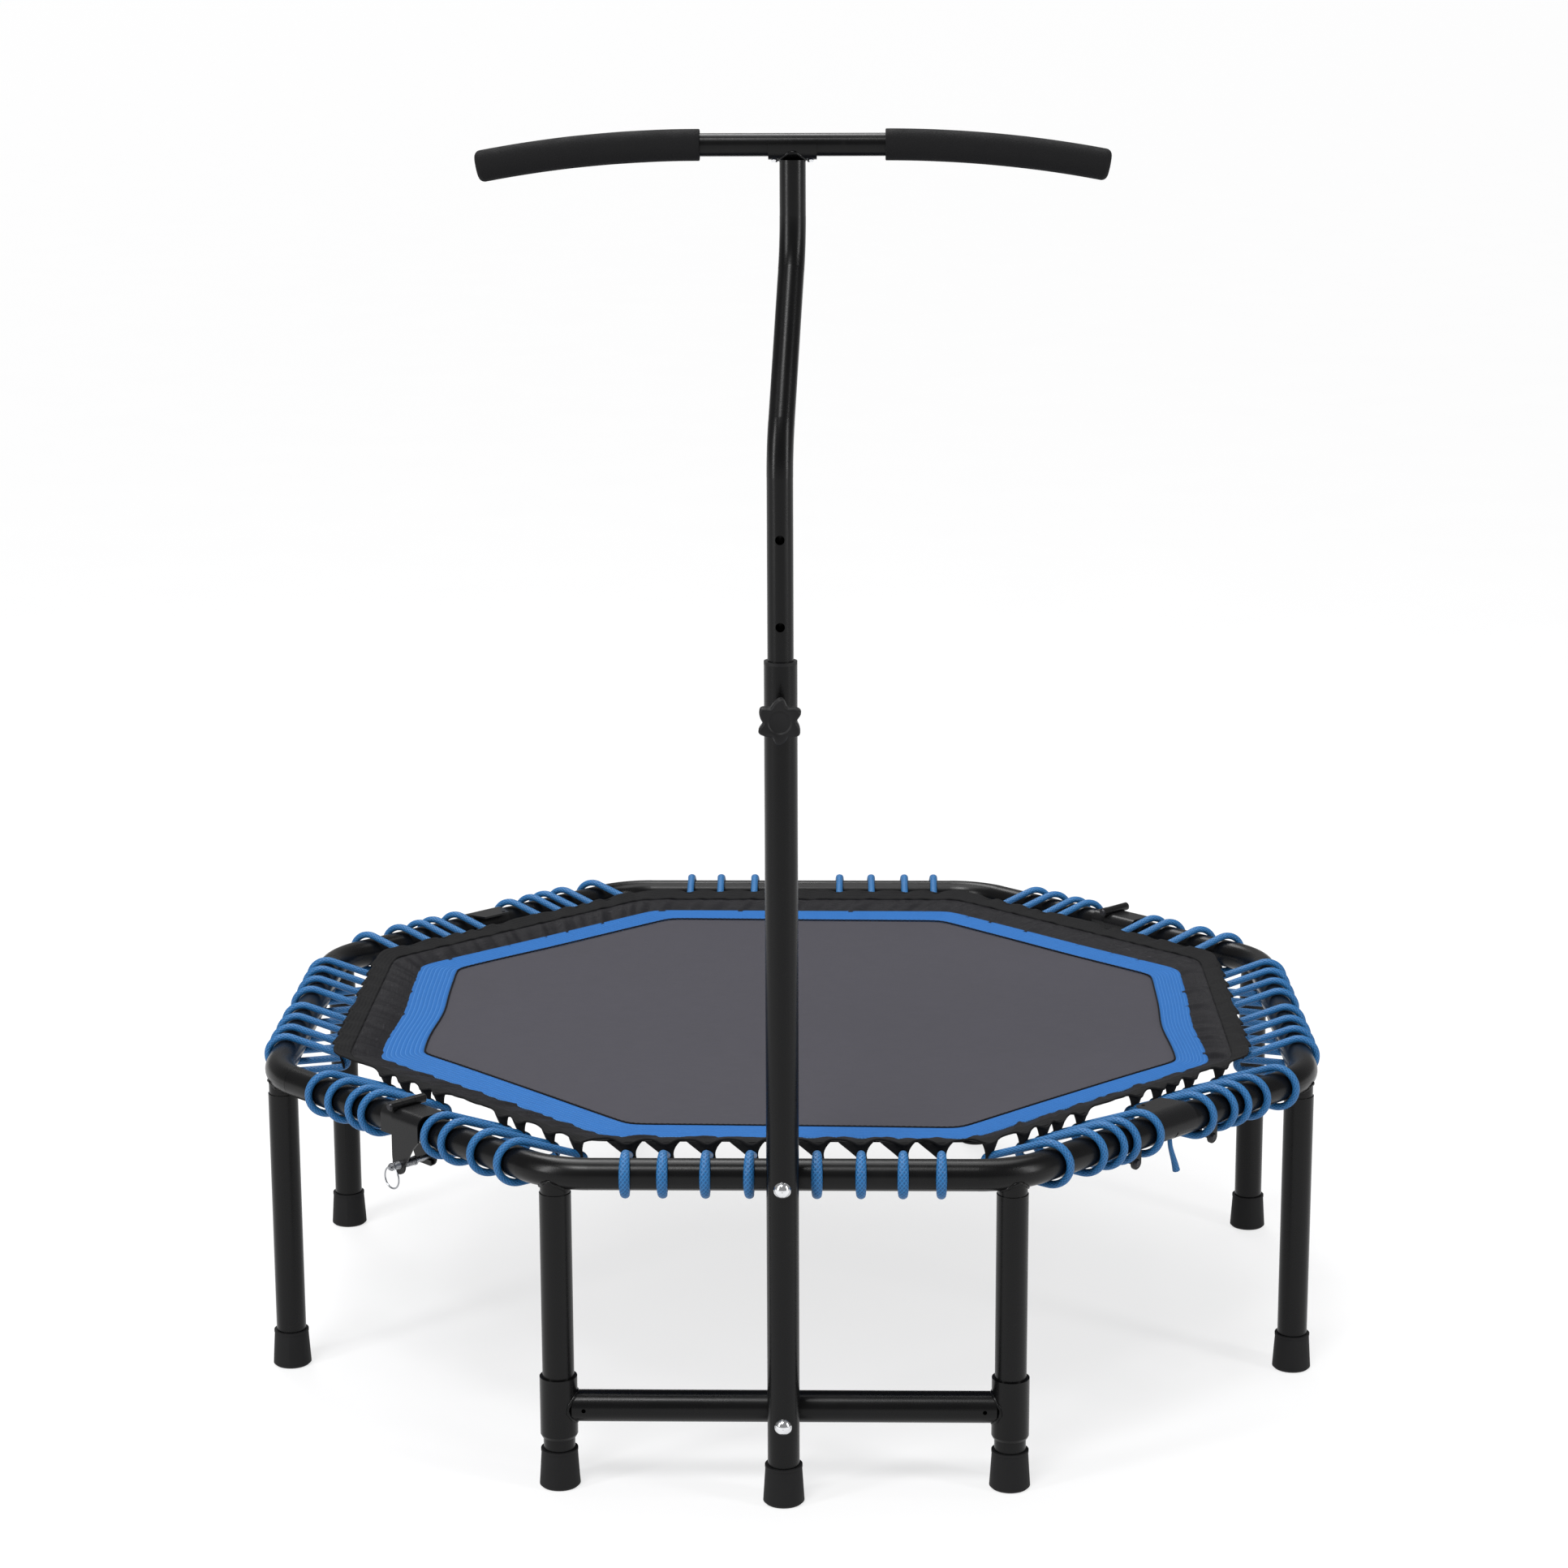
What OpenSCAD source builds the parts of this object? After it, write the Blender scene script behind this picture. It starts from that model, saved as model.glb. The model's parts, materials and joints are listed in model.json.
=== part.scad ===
// Octagonal fitness rebounder with a height-adjustable T-handle.
// Millimetres, +Z up. The floor is z = 0. The origin is the middle of the footprint.
// The frame folds upwards in half about the diagonal from front left to back right.

/* [Frame] */
// Distance between opposite rails, centreline to centreline
across_flats = 1110; // [1090:5:1130]
// Height of the rail centreline above the floor
rail_height = 332; // [325:1:345]
// Outer diameter of the rail, leg, crossbar and post tube
frame_tube_d = 32; // [31:0.5:32]
// Wall thickness of every steel tube
tube_wall = 1.5; // [1.2:0.1:1.8]
// Centreline radius of the eight corner bends
corner_radius = 90; // [80:5:100]

/* [Legs] */
// Height of a rubber foot
foot_height = 40; // [36:1:46]
// Diameter of a rubber foot where it meets the floor
foot_d = 41.5; // [40:0.5:46]
// Height of the crossbar centreline above the floor
crossbar_height = 85; // [80:1:110]
// Outer diameter of the two sleeves that hold the crossbar
sleeve_d = 38; // [37:0.5:40]
// Height of those sleeves
sleeve_height = 64; // [56:1:66]

/* [Handle] */
// Height of the top of the post
post_top = 852; // [845:1:870]
// Height of the star knob and of the adjusting hole behind it
knob_height = 806; // [804:1:808]
// Spacing of the adjusting holes
hole_pitch = 83; // [75:1:85]
// Outer diameter of the sliding handle tube
handle_tube_d = 25; // [24:0.5:25]
// How far the S bend sets the T-bar off the post's axis
handle_setback = 105; // [90:1:115]
// Turn of the S bend to the right of straight back, in degrees
bend_turn = 6; // [0:1:12]
// Height of the T-bar centreline
bar_height = 1332; // [1320:1:1350]
// Outer diameter of the T-bar
bar_d = 22; // [20:0.5:22]
// Overall width of the T-bar with its grips
bar_width = 600; // [580:2:620]
// Length of each foam grip, measured straight across
grip_length = 212; // [200:2:216]
// Outer diameter of the foam grips
grip_d = 30; // [28:0.5:32]

/* [Mat] */
// Centre to flat side of the jump mat
mat_apothem = 412; // [405:1:416]
// Centre to the outer edge of the blue band
band_apothem = 455; // [450:1:460]
// Centre to the outer edge of the skirt
skirt_apothem = 501; // [496:1:504]
// Height of the mat surface
mat_height = 331; // [328:1:332]
// How far the skirt's outer edge stands above the mat
skirt_rise = 18; // [16:1:19]

/* [Cords] */
// Diameter of the elastic cord
cord_d = 9.5; // [8:0.5:9.5]
// Sideways lean of the loops on the four diagonal sides, in degrees
cord_lean = 22; // [0:1:22]

/* [Hidden] */
$fn = 48;

steel = [0.09, 0.09, 0.1];
foam = [0.05, 0.05, 0.055];
rubber = [0.14, 0.14, 0.15];
bright = [0.8, 0.8, 0.82];
blue = [0.2, 0.45, 0.75];

eps = 0.01;
slip = 0.05;                            // radial clearance of a running fit
bend_swell = 0.1;                       // a bend's tube is this much fatter than its straights
bend_lap = 1;                           // the straights run this far into a bend
r_frame = frame_tube_d / 2;
apothem = across_flats / 2;
half_side = apothem * tan(22.5);
bend_tangent = corner_radius * tan(22.5);
run_length = half_side - bend_tangent;  // half side, from its middle to the bend
diag = sqrt(0.5);

// The footprint reaches further in front, with the knob, than behind, with the cords.
front_reach = apothem + 86;
back_reach = apothem + 26;
centre_y = (front_reach - back_reach) / 2;

// Legs stand under the middle of each corner bend.
leg_across = run_length + corner_radius * sin(22.5);
leg_out = apothem - corner_radius * (1 - cos(22.5));
leg_gap = 5;  // between the top of a leg and the rail
leg_top = rail_height - r_frame - leg_gap;
foot_floor = 6;
collar_r = r_frame - 1;

// Handle post, in front of the front rail.
post_y = -apothem - frame_tube_d - 0.2;
post_inner_r = r_frame - tube_wall;
post_front_y = post_y - r_frame;
bolt_r = 4;
bolt_head_r = 8.5;
bolt_head_rise = 5.5;
nut_across = 13;
nut_h = 6.5;

// Handle tube.
r_handle = handle_tube_d / 2;
tube_foot_z = 536;
s_radius = 100;
s_angle = 30;
s_run = (handle_setback - 2 * s_radius * (1 - cos(s_angle))) / sin(s_angle);
s_height = 2 * s_radius * sin(s_angle) + s_run * cos(s_angle);
s_start = 1030;
handle_x = handle_setback * sin(bend_turn);
handle_y = post_y + handle_setback * cos(bend_turn);
adjust_hole_r = 4.5;

// T-bar and grips.
r_bar = bar_d / 2;
grip_inner_x = bar_width / 2 - grip_length;
bar_droop = 20;
bar_arc_r = grip_length * grip_length / (2 * bar_droop);
bar_arc_angle = asin(grip_length / bar_arc_r);
grip_cap = 4;
saddle_width = 46;
saddle_wall = 3;
saddle_screw_x = 17;
saddle_screw_r = 2;

// Star knob.
knob_lobe_r = 5.6;
knob_lobe_pitch = 16.4;
knob_neck_r = 10;
knob_back_y = post_front_y - 6;
knob_front_y = -front_reach;
knob_depth = 15;

// Fold hinge.
hinge_z = r_frame + 5.5;                // hinge axis above the rail centreline
knuckle_r = 5;
hinge_pin_r = 2.5;
knuckle_half = 22;
knuckle_split = 8;
cover_length = 44;
cover_in = r_frame + 3.4;
cover_wall = 2;
cover_top = r_frame + 0.6;
collar_length = 21;
collar_in = r_frame + 0.4;
collar_wall = 2.2;
rail_gap = 1;
lock_x = 11;
lock_z = -39;
lock_r = 3;
lock_eye_y = cover_in + cover_wall + 9;
ring_r = 11.5;
ring_wire_r = 0.9;

// Second-fold bracket.
bracket_half = 27;
bracket_pin_x = 60.5;
bracket_pin_z = -25;
bracket_pin_r = 3;
bracket_ear_y = 9;

// Soft parts.
fold_gap = 1.5;
mat_t = 2;
band_t = 3;
cord_r = cord_d / 2;
wrap_r = r_frame + cord_r + 0.25;
turn_r = 7;
turn_depth = 60;
turn_drop = 8;
straight_side_offsets = [33, 76, 118, 156];
bracket_side_offsets = [43, 78, 100, 130, 180];
cover_side_offsets = [60, 88, 135, 178];
collar_side_offsets = [44, 66, 102, 134];
back_side_slide = 16;  // the back side's loops sit this far to the right

// ---------- placing ----------

module centred() {
    translate([0, centre_y, 0]) children();
}

// Turns a shape drawn on the front side onto side k of the octagon, counted anticlockwise.
module on_side(k) {
    centred() rotate(45 * k) children();
}

// Hinge frame: x along the rail away from the fold line, y outwards, z up.
module front_hinge_frame() {
    centred() translate([-apothem * diag, -apothem * diag, rail_height])
        rotate(135) mirror([1, 0, 0]) children();
}

module back_hinge_frame() {
    centred() translate([apothem * diag, apothem * diag, rail_height])
        rotate(-45) children();
}

module right_bracket_frame() {
    centred() translate([apothem * diag, -apothem * diag, rail_height])
        rotate(-135) children();
}

module left_bracket_frame() {
    centred() translate([-apothem * diag, apothem * diag, rail_height])
        rotate(45) children();
}

// ---------- basic shapes ----------

// Cylinder along +X from x = 0.
module rod_x(r, h) {
    rotate([0, 90, 0]) cylinder(r = r, h = h);
}

// Cylinder along +Y from y = 0.
module rod_y(r, h) {
    rotate([-90, 0, 0]) cylinder(r = r, h = h);
}

module tube_z(r_out, r_in, h) {
    linear_extrude(h) difference() {
        circle(r_out);
        circle(r_in);
    }
}

module tube_x(r_out, r_in, h) {
    rotate([0, 90, 0]) tube_z(r_out, r_in, h);
}

// Arc of round bar about the Z axis, from -Y through the given angle.
module round_bar_arc(radius, angle, r) {
    rotate(-90) rotate_extrude(angle = angle, $fn = 96) translate([radius, 0]) circle(r);
}

// ---------- rails ----------

// Solid run of rail: a straight side, a bend at each end and a straight to the fold line.
module rail_core(r, end_length) {
    translate([-run_length - bend_lap, 0, 0]) rod_x(r, 2 * (run_length + bend_lap));
    for (side = [0, 1]) mirror([side, 0, 0]) translate([run_length, corner_radius, 0]) {
        round_bar_arc(corner_radius, 45, r + bend_swell);
        rotate(45) translate([-bend_lap, -corner_radius, 0]) rod_x(r, end_length + bend_lap);
    }
}

// One quarter of the rail, drawn on the front side about the frame centre.
module rail_quarter() {
    translate([0, -apothem, rail_height]) difference() {
        rail_core(r_frame, run_length - rail_gap);
        rail_core(post_inner_r, run_length);
        children();
    }
}

module front_rail() {
    color(steel) centred() rail_quarter()
        translate([0, -frame_tube_d, 0]) rod_y(bolt_r + 0.1, 2 * frame_tube_d);
}

module right_rail() {
    color(steel) centred() rotate(90) rail_quarter();
}

module back_rail() {
    color(steel) centred() rotate(180) rail_quarter();
}

module left_rail() {
    color(steel) centred() rotate(-90) rail_quarter();
}

// ---------- legs and feet ----------

// Puts a shape under the corner at the right-hand end of side k.
module at_right_corner(k) {
    on_side(k) translate([leg_across, -leg_out, 0]) children();
}

// Puts a shape under the corner at the left-hand end of side k.
module at_left_corner(k) {
    on_side(k) translate([-leg_across, -leg_out, 0]) children();
}

// Welded stub whose top is saddle-cut to the bend above it.
module leg_collar() {
    difference() {
        translate([leg_across, -leg_out, leg_top])
            tube_z(collar_r, collar_r - 2, rail_height - leg_top);
        translate([run_length, corner_radius - apothem, rail_height])
            round_bar_arc(corner_radius, 45, r_frame + bend_swell);
    }
}

module leg_collar_pair() {
    leg_collar();
    mirror([1, 0, 0]) leg_collar();
}

module fixed_leg_collars() {
    color(steel) for (k = [0, 2]) on_side(k) leg_collar_pair();
}

module folding_leg_collars() {
    color(steel) for (k = [4, 6]) on_side(k) leg_collar_pair();
}

module leg() {
    color(steel) translate([0, 0, foot_floor]) tube_z(r_frame, post_inner_r, leg_top - foot_floor);
}

module front_left_leg() { at_left_corner(0) leg(); }
module front_right_leg() { at_right_corner(0) leg(); }
module right_front_leg() { at_left_corner(2) leg(); }
module right_back_leg() { at_right_corner(2) leg(); }
module back_right_leg() { at_left_corner(4) leg(); }
module back_left_leg() { at_right_corner(4) leg(); }
module left_back_leg() { at_left_corner(6) leg(); }
module left_front_leg() { at_right_corner(6) leg(); }

// Moulded foot: flared skirt, rolled lip at the mouth, chamfer at the floor.
module foot() {
    foot_r = foot_d / 2;
    mouth_r = r_frame + 2.25;
    chamfer = 2;
    color(rubber) difference() {
        union() {
            cylinder(r1 = foot_r - chamfer, r2 = foot_r, h = chamfer);
            translate([0, 0, chamfer]) cylinder(r1 = foot_r, r2 = mouth_r, h = foot_height - chamfer);
            translate([0, 0, foot_height - 2.5]) cylinder(r = mouth_r + 0.6, h = 2.5);
        }
        translate([0, 0, foot_floor]) cylinder(r = r_frame + slip, h = foot_height);
    }
}

module fixed_feet() {
    for (k = [0, 2]) {
        at_left_corner(k) foot();
        at_right_corner(k) foot();
    }
}

module folding_feet() {
    for (k = [4, 6]) {
        at_left_corner(k) foot();
        at_right_corner(k) foot();
    }
}

module post_foot() {
    centred() translate([0, post_y, 0]) foot();
}

// ---------- crossbar ----------

module sleeve_solid(r) {
    bottom_z = crossbar_height - sleeve_height / 2;
    chamfer = 3;
    translate([0, 0, bottom_z]) {
        cylinder(r1 = r - 1.5, r2 = r, h = chamfer);
        translate([0, 0, chamfer]) cylinder(r = r, h = sleeve_height - chamfer);
    }
}

module crossbar_sleeve() {
    color(steel) difference() {
        sleeve_solid(sleeve_d / 2);
        cylinder(r = r_frame + 0.1, h = 2 * crossbar_height);
    }
}

module crossbar_left_sleeve() { at_left_corner(0) crossbar_sleeve(); }
module crossbar_right_sleeve() { at_right_corner(0) crossbar_sleeve(); }

// Tube between the two sleeves, coped to both and drilled for the lower bolt.
module crossbar() {
    bar_half = leg_across - sleeve_d / 2 + 5;
    vent_r = 2.2;
    color(steel) centred() difference() {
        translate([-bar_half, -leg_out, crossbar_height]) tube_x(r_frame, post_inner_r, 2 * bar_half);
        for (side = [-1, 1]) {
            translate([side * leg_across, -leg_out, 0]) cylinder(r = sleeve_d / 2, h = 2 * crossbar_height);
            translate([side * (bar_half - 12), -leg_out - frame_tube_d, crossbar_height])
                rod_y(vent_r, frame_tube_d);
        }
        translate([0, -leg_out - frame_tube_d, crossbar_height]) rod_y(bolt_r + 0.1, 2 * frame_tube_d);
    }
}

// ---------- post ----------

module post() {
    color(steel) centred() difference() {
        translate([0, post_y, foot_floor]) tube_z(r_frame, post_inner_r, post_top - foot_floor);
        for (z = [crossbar_height, rail_height])
            translate([0, post_y - frame_tube_d, z]) rod_y(bolt_r + 0.1, 2 * frame_tube_d);
        translate([0, post_y - frame_tube_d, knob_height]) rod_y(bolt_r + slip, frame_tube_d);
    }
}

// Nylon bushing in the mouth of the post, with a thin lip over its rim.
module post_insert() {
    depth = 34;
    lip = 3;
    color(foam) centred() translate([0, post_y, 0]) {
        translate([0, 0, post_top - depth]) tube_z(post_inner_r - slip, r_handle + slip, depth);
        translate([0, 0, post_top]) tube_z(r_frame, r_handle + slip, lip);
    }
}

// Spacer between the post and the crossbar, coped to both tubes.
module post_spacer() {
    spacer_r = 9;
    color(steel) centred() difference() {
        translate([0, post_y, crossbar_height]) rod_y(spacer_r, -leg_out - post_y);
        translate([0, post_y, 0]) cylinder(r = r_frame, h = 2 * crossbar_height);
        translate([-frame_tube_d, -leg_out, crossbar_height]) rod_x(r_frame, 2 * frame_tube_d);
        translate([0, post_y, crossbar_height]) rod_y(bolt_r + 0.1, frame_tube_d + r_frame);
    }
}

// Dome-headed bolt along +Y, its head seated at y = 0.
module dome_bolt(length) {
    dome_r = (bolt_head_r * bolt_head_r + bolt_head_rise * bolt_head_rise) / (2 * bolt_head_rise);
    color(bright) {
        rotate([90, 0, 0]) rotate_extrude() intersection() {
            translate([0, bolt_head_rise - dome_r]) circle(dome_r, $fn = 96);
            square([bolt_head_r, bolt_head_rise]);
        }
        rod_y(bolt_r, length);
    }
}

function bolt_end(rail_y) = rail_y + r_frame + nut_h + 3;

module post_bolts() {
    centred() {
        translate([0, post_front_y - 0.05, rail_height]) dome_bolt(bolt_end(-apothem) - post_front_y);
        translate([0, post_front_y - 0.05, crossbar_height]) dome_bolt(bolt_end(-leg_out) - post_front_y);
    }
}

module hex_nut() {
    color(bright) difference() {
        rotate([-90, 0, 0]) cylinder(d = nut_across / cos(30), h = nut_h, $fn = 6);
        translate([0, -1, 0]) rod_y(bolt_r + slip, nut_h + 2);
    }
}

module post_nuts() {
    centred() {
        translate([0, -apothem + r_frame + slip, rail_height]) hex_nut();
        translate([0, -leg_out + r_frame + slip, crossbar_height]) hex_nut();
    }
}

// ---------- star knob ----------

// Welded nut on the front of the post, coped to the tube.
module knob_boss() {
    boss_r = 8;
    color(steel) centred() difference() {
        translate([0, knob_back_y + 0.5, knob_height]) rod_y(boss_r, frame_tube_d / 2);
        translate([0, post_y, 0]) cylinder(r = r_frame, h = post_top);
        translate([0, knob_back_y - 1, knob_height]) rod_y(bolt_r + slip, frame_tube_d);
    }
}

module star_outline(grow) {
    circle(knob_lobe_pitch - 1 + grow);
    for (k = [0 : 5]) rotate(60 * k + 30) translate([knob_lobe_pitch, 0]) circle(knob_lobe_r + grow);
}

module star_knob() {
    edge = 2;
    recess_r = 11;
    recess_depth = 1.5;
    neck = knob_back_y - knob_front_y - knob_depth;
    color(foam) centred() translate([0, knob_front_y, knob_height]) rotate([-90, 0, 0]) difference() {
        union() {
            linear_extrude(edge) star_outline(-1);
            translate([0, 0, edge]) linear_extrude(knob_depth - 2 * edge) star_outline(0);
            translate([0, 0, knob_depth - edge]) linear_extrude(edge) star_outline(-1);
            translate([0, 0, knob_depth]) cylinder(r = knob_neck_r, h = neck);
        }
        translate([0, 0, -eps]) cylinder(r = recess_r, h = recess_depth);
        translate([0, 0, edge + 3]) cylinder(r = bolt_r, h = knob_depth + neck);
    }
}

// Clamp screw, ending just clear of the handle tube.
module knob_screw() {
    start_y = knob_front_y + 5;
    tip_y = post_y - r_handle - 0.2;
    color(bright) centred() translate([0, start_y, knob_height]) rod_y(bolt_r, tip_y - start_y);
}

// ---------- handle ----------

// Solid run of the handle: straight, S bend, straight. The ends can be run past by some length.
module handle_core(r, past) {
    top_z = bar_height - r_bar - saddle_wall;
    s_end = s_start + s_height;
    translate([0, 0, tube_foot_z - past]) cylinder(r = r, h = s_start - tube_foot_z + past + bend_lap);
    rotate(-bend_turn) {
        translate([0, s_radius, s_start]) rotate([90, 0, 90])
            rotate(180) rotate_extrude(angle = -s_angle, $fn = 96) translate([s_radius, 0]) circle(r + bend_swell);
        translate([0, s_radius * (1 - cos(s_angle)), s_start + s_radius * sin(s_angle)])
            rotate([-s_angle, 0, 0]) translate([0, 0, -bend_lap]) cylinder(r = r, h = s_run + 2 * bend_lap);
        translate([0, handle_setback - s_radius, s_end]) rotate([90, 0, 90])
            rotate_extrude(angle = -s_angle, $fn = 96) translate([s_radius, 0]) circle(r + bend_swell);
        translate([0, handle_setback, s_end - bend_lap]) cylinder(r = r, h = top_z - s_end + past + bend_lap);
    }
}

module handle_tube() {
    handle_wall = 1.2;
    color(steel) centred() translate([0, post_y, 0]) difference() {
        handle_core(r_handle, 0);
        handle_core(r_handle - handle_wall, 1);
        for (k = [-1 : 2]) translate([0, -handle_tube_d, knob_height + k * hole_pitch])
            rod_y(adjust_hole_r, handle_tube_d);
    }
}

// Plastic shoe on the lower end of the handle tube, running inside the post.
module handle_glide() {
    shoe = 12;
    color(foam) centred() translate([0, post_y, tube_foot_z - shoe]) {
        cylinder(r = post_inner_r - slip, h = shoe);
        cylinder(r = r_handle - 1.3, h = shoe + 14);
    }
}

// Puts a shape at the middle of the T-bar.
module at_bar() {
    centred() translate([handle_x, handle_y, bar_height]) children();
}

// Draws children about the centre of the right-hand grip arc.
module grip_arc_frame() {
    translate([grip_inner_x, 0, -bar_arc_r]) rotate([90, 0, 0]) rotate(90 - bar_arc_angle) children();
}

// Solid run of the T-bar. Its drooping ends start a little way in from the grips' outer ends.
module bar_core(r, first_angle) {
    straight = grip_inner_x + bend_lap;
    translate([-straight, 0, 0]) rod_x(r - bend_swell, 2 * straight);
    for (side = [0, 1]) mirror([side, 0, 0]) grip_arc_frame()
        rotate(first_angle) rotate_extrude(angle = bar_arc_angle - first_angle, $fn = 180)
            translate([bar_arc_r, 0]) circle(r);
}

module handle_bar() {
    bar_wall = 1.3;
    color(steel) at_bar() difference() {
        bar_core(r_bar, 0.6);
        bar_core(r_bar - bar_wall, 0.4);
        for (side = [-1, 1]) translate([side * saddle_screw_x, 0, -bar_d])
            cylinder(r = saddle_screw_r + slip, h = bar_d);
    }
}

// Half collar under the T-bar, on top of the handle tube.
module bar_saddle() {
    color(steel) at_bar() difference() {
        translate([-saddle_width / 2, 0, 0]) rod_x(r_bar + saddle_wall, saddle_width);
        translate([-saddle_width, 0, 0]) rod_x(r_bar - bend_swell + slip, 2 * saddle_width);
        translate([-saddle_width, -bar_d, 1]) cube([2 * saddle_width, 2 * bar_d, bar_d]);
        for (side = [-1, 1]) translate([side * saddle_screw_x, 0, -bar_d])
            cylinder(r = saddle_screw_r + slip, h = bar_d);
    }
}

module saddle_screws() {
    head_r = 3.6;
    head_h = 2.2;
    seat = r_bar + saddle_wall + slip;
    color(bright) at_bar() for (side = [-1, 1])
        translate([side * saddle_screw_x, 0, -seat]) {
            translate([0, 0, -head_h]) cylinder(r1 = head_r - 1, r2 = head_r, h = head_h);
            cylinder(r = saddle_screw_r, h = saddle_wall + 3);
        }
}

// Foam grip, square-cut at the inner end and closed at the outer end.
module foam_grip() {
    cap_angle = asin(grip_cap / bar_arc_r);
    grip_arc_frame() {
        rotate(cap_angle) rotate_extrude(angle = bar_arc_angle - cap_angle, $fn = 180)
            translate([bar_arc_r, 0]) difference() {
                circle(grip_d / 2);
                circle(r_bar + slip);
            }
        rotate_extrude(angle = cap_angle, $fn = 180) translate([bar_arc_r, 0]) circle(grip_d / 2);
    }
}

module left_grip() { color(foam) at_bar() mirror([1, 0, 0]) foam_grip(); }
module right_grip() { color(foam) at_bar() foam_grip(); }

// ---------- fold hinges ----------

// Inverted channel over the rail, from x = 0.
module channel(length, half_in, top_in, wall, depth) {
    corner = 9;
    half_out = half_in + wall;
    rotate([90, 0, 90]) linear_extrude(length) difference() {
        rounded_arch(half_out, top_in + wall, depth, corner + wall);
        translate([0, -eps]) rounded_arch(half_in, top_in, depth + 1, corner);
    }
}

// Rectangle from z = -depth to z = top with its two upper corners rounded.
module rounded_arch(half_width, top, depth, corner) {
    translate([-half_width, -depth]) square([2 * half_width, depth + top - corner]);
    translate([corner - half_width, -depth]) square([2 * (half_width - corner), depth + top]);
    for (side = [-1, 1]) translate([side * (half_width - corner), top - corner]) circle(corner);
}

// Side plate hanging from the cover, rounded at its lower end.
module hanging_plate(y) {
    nose_r = 10;
    translate([0, y, 0]) rotate([90, 0, 0]) translate([0, 0, -cover_wall]) linear_extrude(cover_wall) {
        difference() {
            union() {
                translate([lock_x, lock_z]) circle(nose_r);
                polygon([
                    [0.5, -8], [0.5, lock_z + 8], [lock_x - nose_r + 0.6, lock_z],
                    [lock_x + nose_r - 0.6, lock_z], [cover_length - 10, -18], [cover_length, -8]
                ]);
            }
            translate([lock_x, lock_z]) circle(lock_r + slip);
        }
    }
}

// Hinge knuckle on the fold axis between two distances across the rail.
module knuckle(y_from, y_to) {
    translate([0, y_from, hinge_z]) rotate([-90, 0, 0]) tube_z(knuckle_r, hinge_pin_r + slip, y_to - y_from);
}

module hinge_cover() {
    gap = 0.3;
    relief = knuckle_r + 0.5;
    color(steel) {
        difference() {
            translate([0.5, 0, 0]) channel(cover_length - 0.5, cover_in, cover_top, cover_wall, 8);
            translate([0, -knuckle_split, hinge_z]) rod_y(relief, 2 * knuckle_split);
            for (side = [-1, 1])
                translate([0, side * (knuckle_half + knuckle_split) / 2, hinge_z])
                    translate([0, -knuckle_half, 0]) rod_y(hinge_pin_r + 0.5, 2 * knuckle_half);
        }
        knuckle(knuckle_split + gap, knuckle_half);
        knuckle(-knuckle_half, -knuckle_split - gap);
        hanging_plate(cover_in);
        hanging_plate(-cover_in - cover_wall);
    }
}

// Folding leaf: a short collar over the rail end and a tongue with an open lock notch.
module hinge_collar() {
    tongue_end = lock_x + 5;
    relief = knuckle_r + 0.5;
    notch_low = lock_z - lock_r - 0.3;
    notch_high = lock_z + lock_r + 2.5;
    color(steel) {
        difference() {
            translate([-collar_length, 0, 0]) channel(collar_length - 0.8, collar_in, cover_top, collar_wall, 10);
            for (side = [-1, 1])
                translate([0, side * (knuckle_half + knuckle_split) / 2 - (knuckle_half - knuckle_split) / 2 - 1, hinge_z])
                    rod_y(relief, knuckle_half - knuckle_split + 3);
            translate([0, -knuckle_half, hinge_z]) rod_y(hinge_pin_r + 0.5, 2 * knuckle_half);
        }
        knuckle(-knuckle_split, knuckle_split);
        translate([0, -collar_in, 0]) rotate([90, 0, 0]) linear_extrude(collar_wall) difference() {
            polygon([
                [-collar_length, -9], [-collar_length, -18], [-8, lock_z - 9], [tongue_end, lock_z - 9],
                [tongue_end, lock_z + 11], [-1, -22], [-1, -9]
            ]);
            translate([lock_x, lock_z]) circle(lock_r + 0.3);
            polygon([
                [lock_x, notch_low], [tongue_end + 1, notch_low], [tongue_end + 1, notch_high],
                [lock_x, lock_z + lock_r + 0.3]
            ]);
        }
    }
}

module hinge_pin() {
    head_r = 4.2;
    head_h = 2;
    color(bright) translate([0, 0, hinge_z]) {
        translate([0, -knuckle_half - head_h, 0]) rod_y(hinge_pin_r, 2 * (knuckle_half + head_h));
        for (side = [0, 1]) mirror([0, side, 0]) translate([0, knuckle_half + slip, 0])
            rotate([-90, 0, 0]) cylinder(r1 = head_r, r2 = head_r - 1.2, h = head_h);
    }
}

// Pull pin with a spring collar inside and an eye for the ring outside.
module lock_pin() {
    eye_t = 3;
    eye_r = 4;
    collar_y = cover_in - 20;
    color(bright) translate([lock_x, 0, lock_z]) {
        difference() {
            union() {
                translate([0, -cover_in - cover_wall - 1, 0]) rod_y(lock_r, lock_eye_y + cover_in + cover_wall - 1);
                translate([0, collar_y, 0]) rod_y(lock_r + 2, 2);
                translate([0, cover_in + cover_wall + 0.2, 0])
                    rotate([-90, 0, 0]) cylinder(r1 = 5, r2 = 3.4, h = 5);
                translate([-eye_t / 2, lock_eye_y, 0]) rod_x(eye_r, eye_t);
            }
            translate([-eye_r, lock_eye_y, 0]) rod_x(ring_wire_r + 0.6, 2 * eye_r);
            for (side = [-1, 1]) translate([side * (eye_t / 2 + eye_r) - eye_r, lock_eye_y - 3.2, -eye_r])
                cube([2 * eye_r, 2 * eye_r, 2 * eye_r]);
        }
    }
}

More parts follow.
